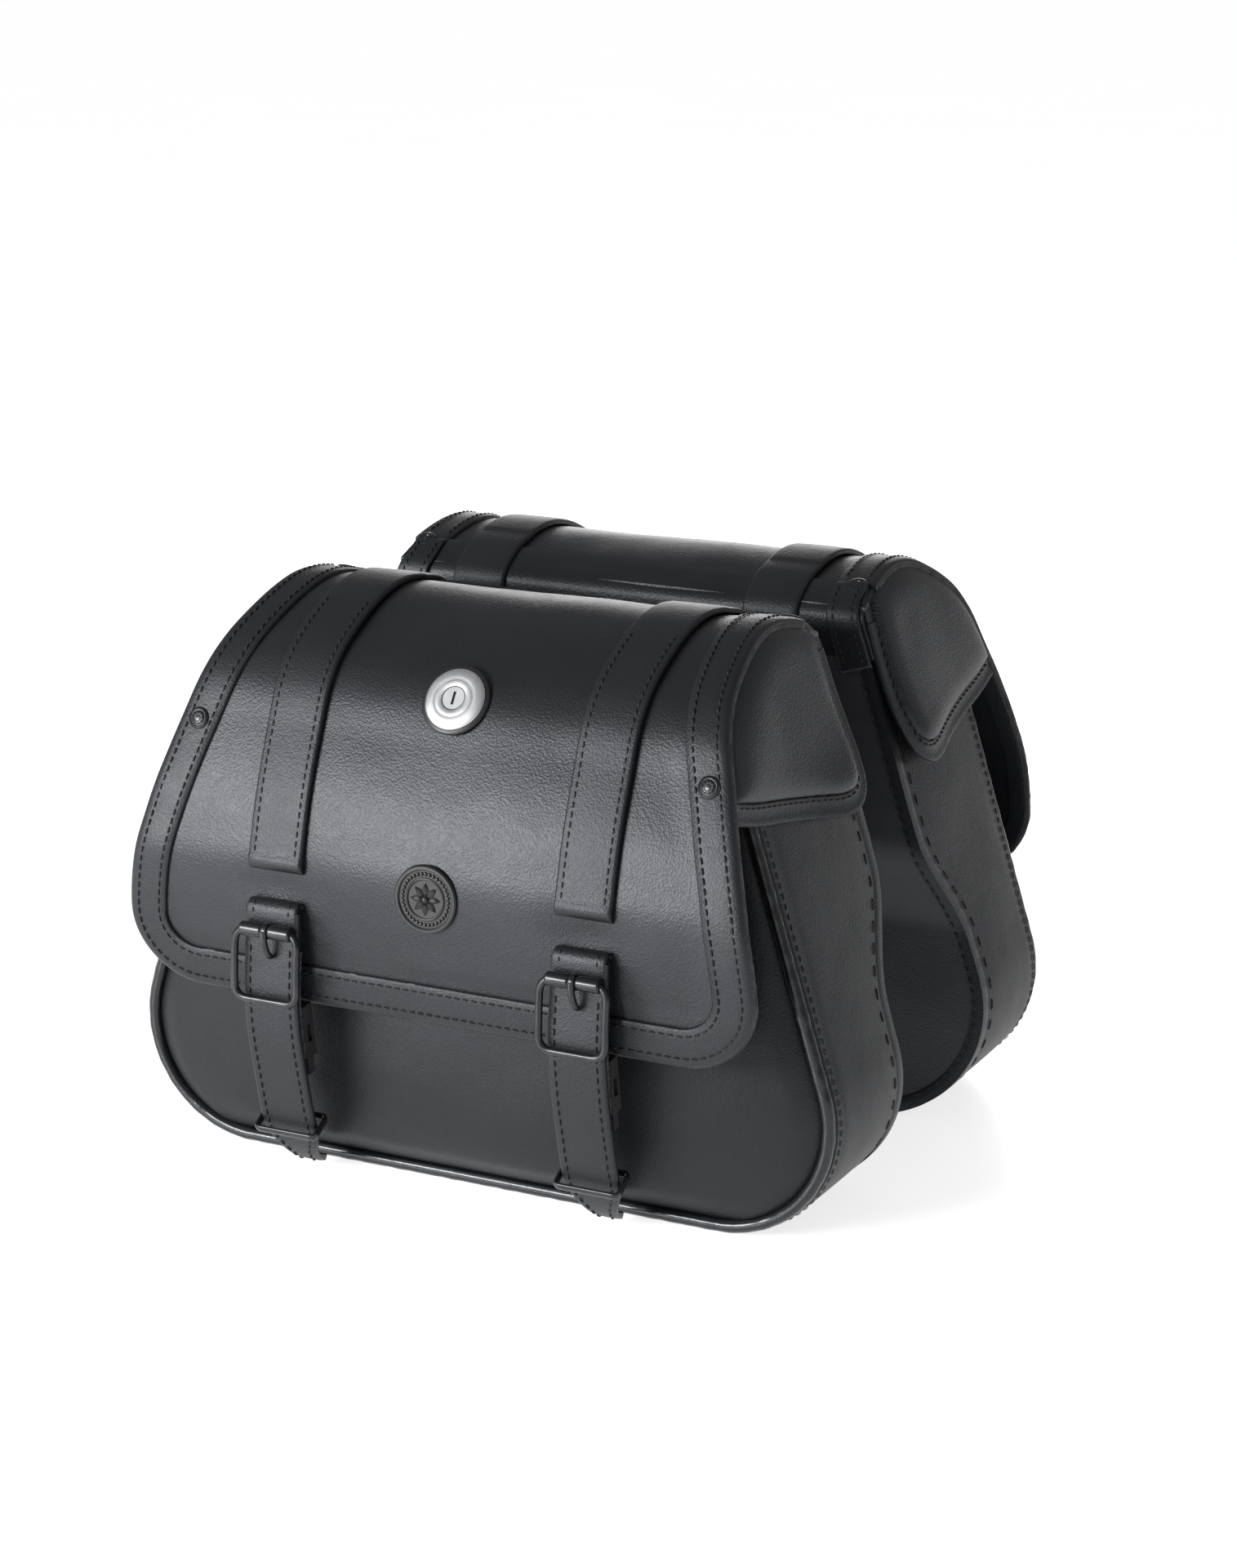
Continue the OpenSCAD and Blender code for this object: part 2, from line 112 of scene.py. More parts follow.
# ---- curves
def unit(v):
    return v / np.maximum(np.linalg.norm(v, axis=-1, keepdims=True), 1e-9)


def spline(knots, steps=24):
    """A Catmull-Rom curve through the knots, sampled at even steps of its parameter within each span."""
    k = np.array(knots, float)
    k = np.vstack([2 * k[0] - k[1], k, 2 * k[-1] - k[-2]])
    t = np.linspace(0, 1, steps, endpoint=False)[:, None]
    out = []
    for a, b, c, d in zip(k, k[1:], k[2:], k[3:]):
        out.append(0.5 * (2 * b + (c - a) * t + (2 * a - 5 * b + 4 * c - d) * t ** 2
                          + (3 * b - a - 3 * c + d) * t ** 3))
    return np.vstack(out + [k[-2:-1]])


def stack(*parts):
    """Joins coordinates into points: x, y and z arrays into one array of (x, y, z)."""
    return np.stack(parts, -1)


def share(value):
    """A value held between 0 and 1."""
    return np.clip(value, 0, 1)


def turn(steps):
    """Angles of a full turn."""
    return np.linspace(0, 2 * pi, steps, endpoint=False)


class Curve:
    """A curve looked up by its length, with its tangent and left-hand normal when it is flat."""

    def __init__(self, points):
        self.points = np.array(points, float)
        steps = np.linalg.norm(np.diff(self.points, axis=0), axis=1)
        self.at_length = np.concatenate([[0], np.cumsum(steps)])
        self.length = self.at_length[-1]
        self.tangents = unit(np.gradient(self.points, axis=0))

    def at(self, s):
        return np.stack([np.interp(s, self.at_length, c) for c in self.points.T], -1)

    def tangent(self, s):
        return unit(np.stack([np.interp(s, self.at_length, c) for c in self.tangents.T], -1))

    def normal(self, s):
        t = self.tangent(s)
        return stack(-t[..., 1], t[..., 0])

    def where(self, axis, value):
        """The length along the curve of the last point where a coordinate has this value."""
        d = self.points[:, axis] - value
        i = np.nonzero(d[:-1] * d[1:] <= 0)[0][-1]
        f = d[i] / (d[i] - d[i + 1] + 1e-12)
        return self.at_length[i] + f * (self.at_length[i + 1] - self.at_length[i])


LID = Curve(spline(LID_KNOTS))
STRAP = Curve(spline(STRAP_KNOTS))
BACK = Curve(spline(BACK_KNOTS))


def body_half(z, inset=0.0):
    return MOUTH_HALF + (MOUTH_Z - z) * tan(LEAN) - inset / cos(LEAN)


CORNER_X = body_half(0) - CORNER_R / tan(pi / 4 - LEAN / 2)


def outline_half(z, inset=0.0):
    """Half length of the body's rounded outline at a height."""
    z = np.asarray(z, float)
    r = CORNER_R - inset
    low = CORNER_X + np.sqrt(np.maximum(0, r ** 2 - (CORNER_R - np.minimum(z, CORNER_R * 2)) ** 2))
    return np.where(z >= CORNER_R * (1 + sin(LEAN)), body_half(z, inset), low)


def body_outline(inset=0.0, top=270.0):
    """The body's outline as (x, z), from the top of the -X end down, along the bottom and up."""
    r = CORNER_R - inset
    angle = np.linspace(-pi / 2, LEAN, 26)
    arc = stack(CORNER_X + r * np.cos(angle), CORNER_R + r * np.sin(angle))
    z = np.linspace(arc[-1, 1], top, 40)[1:]
    side = np.vstack([arc, stack(body_half(z, inset), z)])
    floor_x = np.linspace(-CORNER_X, CORNER_X, 60)[1:-1]
    floor = stack(floor_x, np.full_like(floor_x, inset))
    return np.vstack([side[::-1] * [-1, 1], floor, side])


def lid_half(s):
    """Half width of the lid at a length along its curve, with its rounded bottom corners."""
    z = LID.at(s)[..., 1]
    t = z - LID_EDGE_Z
    half = LID_HALF + 1.2 - tan(LEAN) * 0.5 * (t + np.sqrt(t * t + 40.0 ** 2)) + 0.5
    left = LID.length - np.asarray(s, float)
    r = LID_CORNER_R
    corner = np.where(left < r, r - np.sqrt(np.maximum(0, r * r - (r - left) ** 2)), 0)
    return np.minimum(half, LID_HALF) - corner


def lid_outline():
    """The lid's free edge as (s, x): down one side, along the bottom and up the other."""
    s = LID.length * np.sin(np.linspace(0, pi / 2, 160))
    side = stack(s, lid_half(s))
    bottom = stack(np.full(60, LID.length), np.linspace(side[-1, 1], -side[-1, 1], 60))
    return Curve(np.vstack([side, bottom[1:-1], side[::-1] * [1, -1]]))


LID_EDGE = lid_outline()


def on_lid(s, x, lift=0.0):
    """Points on the lid's outer surface at length s and place x, lifted along its normal."""
    s, x = np.broadcast_arrays(np.asarray(s, float), np.asarray(x, float))
    beyond = np.maximum(s - LID.length, 0)[..., None]
    p = LID.at(s) + LID.tangent(s) * beyond + LID.normal(s) * np.asarray(lift)[..., None]
    return stack(x, p[..., 0], p[..., 1])


def lid_normal(s, x):
    s, x = np.broadcast_arrays(np.asarray(s, float), np.asarray(x, float))
    n = LID.normal(s)
    return stack(np.zeros_like(x), n[..., 0], n[..., 1])


def ripple(points, scale, size, seed=0.0):
    """Smooth noise at each point, for the slight unevenness of hide."""
    flat = points.reshape(-1, 3)
    shift = Vector((seed, seed * 1.7, seed * 0.3))
    return size * np.array([noise.noise(Vector(p) / scale + shift) for p in flat]).reshape(points.shape[:-1])


# ---- mesh builders
def grid_faces(rows, columns, start=0, flip=False, wrap=False):
    faces = []
    for i in range(rows - 1):
        for j in range(columns if wrap else columns - 1):
            k = (j + 1) % columns
            quad = (start + i * columns + j, start + (i + 1) * columns + j,
                    start + (i + 1) * columns + k, start + i * columns + k)
            faces.append(quad[::-1] if flip else quad)
    return faces


def surface_normals(p, outward):
    n = unit(np.cross(np.gradient(p, axis=0), np.gradient(p, axis=1)))
    return n if np.sum(n * outward) >= 0 else -n


def shell(p, thickness, outward=(0, 1, 0)):
    """A closed sheet of leather: its outer face is the grid p, and its rim is rounded."""
    n = surface_normals(p, np.asarray(outward, float))
    rows, columns = p.shape[:2]
    inner = p - n * thickness
    rim = [(0, j) for j in range(columns)] + [(i, columns - 1) for i in range(1, rows)]
    rim += [(rows - 1, j) for j in range(columns - 2, -1, -1)] + [(i, 0) for i in range(rows - 2, 0, -1)]
    inside = [(min(max(i, 1), rows - 2), min(max(j, 1), columns - 2)) for i, j in rim]
    r, q = tuple(np.array(rim).T), tuple(np.array(inside).T)
    out = unit(p[r] - p[q])
    middle = (p[r] + inner[r]) / 2 + out * thickness * RIM_ROUND
    size = rows * columns
    verts = np.vstack([p.reshape(-1, 3), inner.reshape(-1, 3), middle])
    faces = grid_faces(rows, columns) + grid_faces(rows, columns, size, flip=True)
    flat = [i * columns + j for i, j in rim]
    for a in range(len(rim)):
        b = (a + 1) % len(rim)
        faces.append((flat[a], flat[b], 2 * size + b, 2 * size + a))
        faces.append((2 * size + a, 2 * size + b, size + flat[b], size + flat[a]))
    return verts, faces


def sweep(centres, across, up, section, closed=False):
    """A section of (across, up) offsets carried along a line of centres. It may differ by ring."""
    section = np.asarray(section, float)
    if section.ndim == 2:
        section = each(section, centres)
    rings = (centres[:, None] + across[:, None] * section[..., :1] + up[:, None] * section[..., 1:])
    n, m = rings.shape[:2]
    if not closed:
        return capped(rings)
    faces = grid_faces(n, m, wrap=True)
    faces += [((n - 1) * m + j, j, (j + 1) % m, (n - 1) * m + (j + 1) % m) for j in range(m)]
    return rings.reshape(-1, 3), faces


def capped(rings):
    """A closed solid from rings of points, with an end face on the first and the last."""
    n, m = rings.shape[:2]
    ends = [tuple(range(m)), tuple((n - 1) * m + j for j in range(m))[::-1]]
    return rings.reshape(-1, 3), grid_faces(n, m, wrap=True) + ends


def both_sides(keep, x):
    """A choice of points split into its +X part and its -X part."""
    return keep & (x > 0), keep & (x < 0)


def upright(normals):
    """Turns (y, z) directions into (x, y, z) ones."""
    return stack(0 * normals[..., 0], normals[..., 0], normals[..., 1])


def each(section, s):
    """The same section at every place, ready to be changed place by place."""
    return np.repeat(section[None], len(s), 0)


def along_x(s):
    return np.tile([1.0, 0, 0], (len(s), 1))


def rounded(part, least):
    """Height of a quarter circle over its run, kept above a least value."""
    return np.sqrt(np.maximum(1 - (1 - part) ** 2, least))


def frames(points, up_hint, closed=False):
    """Unit across and up directions along a line, with up kept near the hint."""
    if closed:
        t = unit(np.roll(points, -1, 0) - np.roll(points, 1, 0))
    else:
        t = unit(np.gradient(points, axis=0))
    hint = np.broadcast_to(np.asarray(up_hint, float), points.shape)
    across = unit(np.cross(t, hint))
    return across, unit(np.cross(across, t))


def tube(points, r, sides=14, closed=False, hint=(0, 1, 0)):
    across, up = frames(points, hint, closed)
    a = turn(sides)
    r = np.broadcast_to(np.asarray(r, float), (len(points),))
    section = stack(np.cos(a), np.sin(a))[None] * r[:, None, None]
    return sweep(points, across, up, section, closed)


def strip_section(width, thickness, low=0.0, crown=0.25):
    """The section of a strap: flat below, slightly crowned on top, with rounded edges."""
    r = min(thickness * 0.48, 1.6)
    a = np.linspace(0, pi / 2, 5)
    right = stack(width / 2 - r + r * np.sin(a), low + thickness - r + r * np.cos(a))
    under = stack(width / 2 - r * 0.6 + r * 0.6 * np.cos(a), low + r * 0.6 - r * 0.6 * np.sin(a))
    x = np.linspace(-width / 2 + r, width / 2 - r, 9)[1:-1]
    top = stack(x, low + thickness + crown * (1 - (2 * x / width) ** 2))
    half = np.vstack([right, under])
    return np.vstack([top, half, half[::-1] * [-1, 1]])


def lathe(profile, turns=48):
    """A solid turned about Z from (radius, height) points that start and end on the axis."""
    a = turn(turns)
    profile = np.asarray(profile, float)
    ring = profile[1:-1]
    verts = stack(ring[:, None, 0] * np.cos(a), ring[:, None, 0] * np.sin(a),
                  np.repeat(ring[:, None, 1], turns, 1)).reshape(-1, 3)
    faces = grid_faces(len(ring), turns, wrap=True)
    n = len(verts)
    verts = np.vstack([verts, [[0, 0, profile[0, 1]], [0, 0, profile[-1, 1]]]])
    last = (len(ring) - 1) * turns
    for j in range(turns):
        k = (j + 1) % turns
        faces.append((n, j, k))
        faces.append((n + 1, last + k, last + j))
    return verts, faces


def place(mesh, origin, z_axis, x_axis=(1, 0, 0)):
    """Moves a mesh from its own frame to an origin with the given Z and X directions."""
    z = unit(np.asarray(z_axis, float))
    y = unit(np.cross(z, np.asarray(x_axis, float)))
    x = np.cross(y, z)
    verts, faces = mesh
    return np.asarray(origin) + verts @ np.stack([x, y, z]), faces


def join(*meshes):
    verts, faces, count = [], [], 0
    for v, f in meshes:
        verts.append(v)
        faces += [tuple(count + i for i in face) for face in f]
        count += len(v)
    return np.vstack(verts), faces


def mirrored_x(mesh):
    verts, faces = mesh
    return verts * [-1, 1, 1], [face[::-1] for face in faces]


def both_ends(mesh):
    return join(mesh, mirrored_x(mesh))


def stitches(line, normal, pitch=5.0, length=4.1, thick=0.5, sink=0.25, start=3.0, end=3.0):
    """A row of lockstitches along a line of points, each a small arched thread that dips at its ends."""
    line = np.asarray(line, float)
    path = Curve(line)
    normals = np.broadcast_to(np.asarray(normal, float), line.shape)
    count = max(1, int((path.length - start - end) / pitch))
    first = start + (path.length - start - end - count * pitch) / 2 + pitch / 2
    middle = first + pitch * np.arange(count)
    n_at = unit(np.stack([np.interp(middle, path.at_length, c) for c in normals.T], -1))
    rings, sides = 6, 6
    t = np.linspace(-1, 1, rings)
    a = turn(sides)
    arch = (1 - t ** 4) * (thick * 0.9 + sink) - sink
    size = thick * np.sqrt(np.maximum(1 - np.abs(t) ** 6, 0.02))
    verts, faces = [], []
    for k, s in enumerate(middle):
        along = path.at(s + t * length / 2)
        tangent = path.tangent(np.array([s]))[0]
        n = n_at[k]
        side = unit(np.cross(tangent, n))
        centre = along + n * arch[:, None]
        circle = side * np.cos(a)[:, None] + n * np.sin(a)[:, None] * 0.8
        ring = centre[:, None] + circle[None] * size[:, None, None]
        base = k * rings * sides
        verts.append(ring.reshape(-1, 3))
        faces += grid_faces(rings, sides, base, wrap=True)
        faces.append(tuple(base + j for j in range(sides)))
        faces.append(tuple(base + (rings - 1) * sides + j for j in range(sides))[::-1])
    return np.vstack(verts), faces


def add_object(name, data):
    made = bpy.data.objects.new(name, data)
    bpy.context.scene.collection.objects.link(made)
    return made


def emit(name, mesh, material, body, nodes=(), sides=("left", "right"), slot=None, angle=50, hinge=False):
    """Makes the piece on each bag: mirrored in Y on the left one, riding on its body."""
    verts, faces = mesh
    for side in sides:
        data = bpy.data.meshes.new(f"{side}_{name}")
        data.from_pydata((verts * [1, SIDES[side], 1] * MM).tolist(), [], faces)
        tool = bmesh.new()
        tool.from_mesh(data)
        bmesh.ops.recalc_face_normals(tool, faces=tool.faces)
        tool.to_mesh(data)
        tool.free()
        for polygon in data.polygons:
            polygon.use_smooth = True
        data.set_sharp_from_angle(angle=radians(angle))
        data.materials.append(material)
        piece = add_object(f"{side}_{name}", data)
        if hinge:
            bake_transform(piece)
        else:
            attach(piece, body if body == "root" else f"{side}_{body}")
        if nodes:
            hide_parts(*[f"{side}_{node}" for node in nodes])
        slot or SLOTS[material.name]


# ---- materials
def shader(name):
    material = bpy.data.materials.new(name)
    material.use_nodes = True
    tree = material.node_tree
    return material, tree, tree.nodes["Principled BSDF"]


def add(tree, kind, **values):
    """Adds a node, setting its attributes, or its inputs where the name is an input's."""
    node = tree.nodes.new(kind)
    for key, value in values.items():
        if hasattr(node, key):
            setattr(node, key, value)
        else:
            node.inputs[key.replace("_", " ")].default_value = value
    return node


def ramp(tree, source, stops):
    node = tree.nodes.new("ShaderNodeValToRGB")
    while len(node.color_ramp.elements) < len(stops):
        node.color_ramp.elements.new(0.5)
    for element, (position, colour) in zip(node.color_ramp.elements, stops):
        element.position = position
        element.color = colour if len(colour) == 4 else (*colour, 1)
    tree.links.new(source, node.inputs[0])
    return node.outputs[0]


def feed(tree, bsdf, name, source, stops):
    """Drives an input of the shader by a texture, through a ramp."""
    tree.links.new(ramp(tree, source, stops), bsdf.inputs[name])


def grey(value):
    return (value, value, value, 1)


def bumps(tree, shader_node, layers):
    """Chains bump nodes: each layer is (height socket, strength, distance in metres)."""
    last = None
    for height, strength, distance in layers:
        bump = add(tree, "ShaderNodeBump", Strength=strength, Distance=distance)
        tree.links.new(height, bump.inputs["Height"])
        if last:
            tree.links.new(last, bump.inputs["Normal"])
        last = bump.outputs[0]
    tree.links.new(last, shader_node.inputs["Normal"])


def textures(tree, *kinds):
    """Texture nodes in the object's own coordinates, from (node kind, settings) pairs."""
    place_at = add(tree, "ShaderNodeTexCoord").outputs["Object"]
    made = [add(tree, "ShaderNodeTex" + kind, **settings) for kind, settings in kinds]
    for texture in made:
        tree.links.new(place_at, texture.inputs["Vector"])
    return [texture.outputs[0] for texture in made]


def leather(name, dark, light, rough, grain=0.55, crease=0.09, coat=0.08, shine=0.40):
    """Smooth coated hide: pebble grain, fine creases and slow changes of tone and gloss."""
    material, tree, bsdf = shader(name)
    pebble, fine, folds, tone = textures(
        tree, ("Voronoi", dict(feature="SMOOTH_F1", Scale=900.0, Smoothness=0.7)),
        ("Noise", dict(Scale=900.0, Detail=3.0, Roughness=0.6)),
        ("Noise", dict(Scale=70.0, Detail=5.0, Roughness=0.62, Distortion=1.4)),
        ("Noise", dict(Scale=14.0, Detail=3.0, Roughness=0.5)))
    feed(tree, bsdf, "Base Color", tone, [(0.35, dark), (0.65, light)])
    feed(tree, bsdf, "Roughness", folds, [(0.3, grey(rough - 0.015)), (0.7, grey(rough + 0.03))])
    bumps(tree, bsdf, [(folds, crease, 0.0012), (pebble, grain, 0.0003), (fine, 0.22, 0.00012)])
    bsdf.inputs["Specular IOR Level"].default_value = shine
    bsdf.inputs["Specular Tint"].default_value = (0.90, 0.94, 1.0, 1)
    bsdf.inputs["Coat Weight"].default_value = coat
    bsdf.inputs["Coat Roughness"].default_value = 0.34
    return material


def fibre(name, dark, light, rough=0.85):
    """Thread or a raw cut edge: matt, with a fine fibrous relief."""
    material, tree, bsdf = shader(name)
    strands, patches = textures(tree, ("Noise", dict(Scale=1500.0, Detail=4.0, Roughness=0.7)),
                                ("Noise", dict(Scale=120.0, Detail=2.0)))
    feed(tree, bsdf, "Base Color", patches, [(0.3, dark), (0.7, light)])
    bumps(tree, bsdf, [(strands, 0.5, 0.0003)])
    bsdf.inputs["Roughness"].default_value = rough
    return material


def metal(name, dark, light, rough, metallic=1.0, coat=0.0, texture=500.0):
    """Plated, painted or moulded surface, with handling marks in its gloss."""
    material, tree, bsdf = shader(name)
    marks, skin = textures(tree, ("Noise", dict(Scale=90.0, Detail=5.0, Roughness=0.65)),
                           ("Noise", dict(Scale=texture, Detail=2.0)))
    feed(tree, bsdf, "Base Color", marks, [(0.35, dark), (0.7, light)])
    feed(tree, bsdf, "Roughness", marks, [(0.3, grey(rough)), (0.75, grey(rough + 0.08))])
    bumps(tree, bsdf, [(skin, 0.12, 0.0001)])
    bsdf.inputs["Metallic"].default_value = metallic
    bsdf.inputs["Coat Weight"].default_value = coat
    bsdf.inputs["Coat Roughness"].default_value = 0.2
    return material


HIDE = leather("leather_hide", (0.0085, 0.0091, 0.0106), (0.0122, 0.0130, 0.0150), 0.41)
# Painted shade: a darker, less shiny copy of the hide for the gusset and the front panel, standing in for the
# shade on faces turned from the key light.
BODY_HIDE_PAINTED_SHADE = leather("leather_side_painted_shade", (0.0075, 0.0080, 0.0093), (0.0108, 0.0115, 0.0132), 0.47, shine=0.31)
STRAP_HIDE = leather("leather_strap", (0.0085, 0.0091, 0.0106), (0.0128, 0.0136, 0.0156), 0.46,
                     grain=0.6, crease=0.18)
BINDING_HIDE = leather("leather_binding", (0.0090, 0.0096, 0.0112), (0.0130, 0.0138, 0.0158), 0.45,
                       crease=0.20)
# Painted light: the back panel's hide is about three times lighter than the rest, standing in for light on
# the back panel, which lies in shade between the bags.
BACK_HIDE_PAINTED_LIGHT = leather("leather_back_painted_light", (0.030, 0.031, 0.034), (0.040, 0.0415, 0.045), 0.48, grain=0.55)
PIPE_HIDE = leather("leather_piping", (0.0045, 0.0047, 0.0053), (0.0070, 0.0074, 0.0083), 0.20,
                    grain=0.10, coat=0.30)
EDGE = fibre("cut_edge", (0.018, 0.0185, 0.020), (0.060, 0.061, 0.064))
THREAD = fibre("thread", (0.0022, 0.0022, 0.0025), (0.005, 0.005, 0.0055), 0.62)
BLACK_METAL = metal("black_plating", (0.030, 0.031, 0.033), (0.050, 0.051, 0.055), 0.27, 0.8, coat=0.2)
CHROME = metal("chrome_plating", (0.78, 0.79, 0.80), (0.9, 0.91, 0.92), 0.16)
LOCK_SILVER = metal("satin_chrome", (0.56, 0.565, 0.575), (0.64, 0.645, 0.655), 0.42)
PLASTIC = metal("moulded_plastic", (0.014, 0.0145, 0.016), (0.022, 0.0225, 0.024), 0.46, 0.0, texture=1600.0)
BADGE_RUBBER = metal("badge_rubber", (0.009, 0.0092, 0.0105), (0.014, 0.0144, 0.016), 0.36, 0.0,
                     texture=1200.0)

SLOTS = {"leather_hide": "leather", "leather_side_painted_shade": "leather", "leather_back_painted_light": "leather",
         "leather_strap": "strap_leather",
         "leather_binding": "binding",
         "leather_piping": "piping",
         "thread": "thread",
         "black_plating": "black_metal",
         "chrome_plating": "chrome", "satin_chrome": "chrome",
         "badge_rubber": "badge"}


# ---- the lid
HINGE_LINE = Curve(spline([(BACK_Y, 232), (BACK_Y, 255), (BACK_Y, 270), (BACK_Y - 0.4, 280.5),
                           (BACK_Y + 1.6, 288), (38, 294.6), (50, 300), (80, 305)]))
OVER = Curve(np.vstack([HINGE_LINE.points[HINGE_LINE.points[:, 0] < 58], LID.points[LID.points[:, 0] > 61]]))
RIVET_S = LID.where(1, 243)
RIVET_TOP_S = LID.at_length[np.argmax(LID.points[:, 0] > 43)]
STRAP_END_Z = 174.0
LOCK_S = LID.where(1, 267)
BADGE_S = LID.where(1, 172)


def on_curve(curve, s, x, lift=0.0):
    s, x = np.broadcast_arrays(np.asarray(s, float), np.asarray(x, float))
    p = curve.at(s) + curve.normal(s) * np.asarray(lift)[..., None]
    return stack(x, p[..., 0], p[..., 1])


def lid_panel():
    s = 4 + (LID.length - 4) * np.sin(np.linspace(0, pi / 2, 120))
    u = np.sin(np.linspace(-pi / 2, pi / 2, 110))
    half = lid_half(s)[:, None] - 1.0
    x = u[None] * half
    base = on_lid(np.repeat(s[:, None], len(u), 1), x)
    z = base[..., 2]
    rise = ripple(base, 75.0, 1.1) + ripple(base, 24.0, 0.28, 5.0)
    fullest = np.exp(-((s[:, None] - LID.where(1, 190)) / 60) ** 2)
    middle = 1.6 * fullest * (1 - (x / (STRAP_X + 6)) ** 2).clip(0)
    pressed = np.zeros_like(z)
    for centre in (-STRAP_X, STRAP_X):
        away = ((x - centre) / 20) ** 2 + ((z - 165) / 9) ** 2
        pressed += 2.0 * np.exp(-away)
    lift = rise + middle - pressed
    to_side, to_end = half - BINDING_W - np.abs(x), LID.length - BINDING_W - s[:, None]
    border = (to_side > 0).astype(float) * share(to_end / 8)
    fade = share(to_side / 10) * share(to_end / 10)
    base = on_lid(np.repeat(s[:, None], len(u), 1), x, lift * fade * border)
    return shell(base, LEATHER)


def lid_rim(start_s, count):
    """Places round the lid's free edge, from where it leaves the hinge, with their outward normals."""
    start = LID_EDGE.at_length[np.argmax(LID_EDGE.points[:, 0] > start_s)]
    along = np.linspace(start, LID_EDGE.length - start, count)
    return along, LID_EDGE.at(along), LID_EDGE.normal(along)


def lid_binding():
    _, edge, out = lid_rim(20, 420)
    b = np.array([21, 21, 20.3, 15, 9, 3.2, 1.0, -0.6, -1.3, -1.2, -0.4, 1, 4, 10, 10.4])
    h = np.array([-0.4, 1.3, 1.9, 2.1, 2.1, 2.05, 1.7, 0.9, -0.6, -2.8, -3.7, -4.0, -4.1, -4.1, -3.0])
    flat = edge[:, None] - b[None, :, None] * out[:, None]
    wave = ripple(stack(flat[..., 0], flat[..., 1], 0 * b + 0 * flat[..., 0]), 18.0, 0.25)
    p = on_lid(flat[..., 0], flat[..., 1], h + wave * (h > 0))
    return capped(p)


def lid_cut_edge():
    """The raw edge of the hide, showing round the rim of the lid."""
    along, edge, out = lid_rim(22, 420)
    b = np.array([-0.9, -1.55, -1.7, -1.5, -0.6, -0.6])
    h = np.array([-0.3, -0.9, -2.2, -3.5, -3.9, -0.8])
    fray = ripple(stack(along, 0 * along, 0 * along), 2.5, 0.35, 4.0)[:, None] * (b < -1)
    flat = edge[:, None] - (b + fray)[..., None] * out[:, None]
    p = on_lid(flat[..., 0], flat[..., 1], h + 0 * flat[..., 0])
    return capped(p)


def lid_stitching():
    rows = []
    _, edge, out = lid_rim(22, 500)
    for b in (4.6, 17.2):
        flat = edge - b * out
        rows.append(stitches(on_lid(flat[:, 0], flat[:, 1], 2.1), lid_normal(flat[:, 0], flat[:, 1])))
    for centre in (-STRAP_X, STRAP_X):
        for side in (-1, 1):
            s = np.linspace(OVER.where(1, 300), OVER_END - 3, 160)
            x = np.full_like(s, centre + side * (STRAP_W / 2 - 4))
            rows.append(stitches(on_curve(OVER, s, x, STRAP_T + 0.15), upright(OVER.normal(s)), sink=0.2))
    return join(*rows)


OVER_END = OVER.where(1, STRAP_END_Z)


def strap_along(curve, s, x, section):
    """A strap's section carried along a curve, upright on it."""
    return sweep(on_curve(curve, s, x), along_x(s), upright(curve.normal(s)), section)


def lid_strap(centre):
    start = np.argmax(OVER.points[:, 1] > 240)
    s = np.concatenate([np.linspace(OVER.at_length[start], OVER_END - 4, 190),
                        OVER_END - 4 * (1 - np.sin(np.linspace(0, pi / 2, 9)[1:]))])
    ends = np.minimum((OVER_END - s) / 4, (s - s[0]) / 2.5).clip(0, 1)
    full = rounded(ends, 0.02)
    section = each(strip_section(STRAP_W, STRAP_T, 0.2), s)
    section[..., 1] *= full[:, None]
    turned = np.exp(-((s - OVER_END + 5) / 3.0) ** 2)
    section[..., 1] *= (1 + 0.25 * turned)[:, None]
    return strap_along(OVER, s, centre, section)


def hinge_sheet():
    s = np.linspace(HINGE_LINE.where(1, 264), HINGE_LINE.where(0, 47), 46)
    z = HINGE_LINE.at(s)[:, 1]
    half = body_half(np.minimum(z, 300), -EAR_GAP) - 2.0
    x = np.linspace(-1, 1, 60)[None] * half[:, None]
    lift = 1.0 + ripple(on_curve(HINGE_LINE, s[:, None], x), 40.0, 0.35)
    return shell(on_curve(HINGE_LINE, s[:, None], x, lift), 1.8, (0, -1, 1))


def hinge_tab(sign):
    s = np.linspace(HINGE_LINE.where(1, 257), HINGE_LINE.where(0, 45), 60)
    z = HINGE_LINE.at(s)[:, 1]
    p = on_curve(HINGE_LINE, s, sign * (body_half(np.minimum(z, 292), 0) - 7.5))
    up = upright(HINGE_LINE.normal(s))
    t = unit(np.gradient(p, axis=0))
    section = each(strip_section(18, 2.2, 0.9), s)
    ends = np.minimum(s - s[0], s[-1] - s).clip(0, 2) / 2
    section[..., 1] *= rounded(ends, 0.03)[:, None]
    tab = sweep(p, unit(np.cross(up, t)) * -1, up, section)
    offset = 5.5
    rows = [stitches(on_curve(HINGE_LINE, s, p[:, 0] + k * offset, 3.3), up, pitch=4.6, length=3.4)
            for k in (-1, 1)]
    return tab, join(*rows)


def bead_ring(profile, steps, count, radius, height):
    """Small turned beads, evenly spaced on a circle."""
    return [place(lathe(profile, steps), (radius * cos(a), radius * sin(a), height), (0, 0, 1))
            for a in (2 * pi * k / count for k in range(count))]


def rivet(s, x):
    cap = lathe([(0, -0.6), (5.9, -0.6), (5.9, 0.4), (5.5, 1.0), (4.7, 1.25), (4.3, 0.95), (3.9, 0.95),
                 (3.6, 1.25), (2.4, 1.45), (2.2, 1.15), (1.7, 1.15), (1.5, 1.5), (0.8, 1.6), (0, 1.62)], 40)
    dots = bead_ring([(0, -0.3), (0.55, -0.3), (0.5, 0.25), (0.2, 0.45), (0, 0.48)], 10, 10, 3.0, 1.2)
    cap = join(cap, *dots)
    return place(cap, on_lid(s, x, 2.1), lid_normal(s, x))


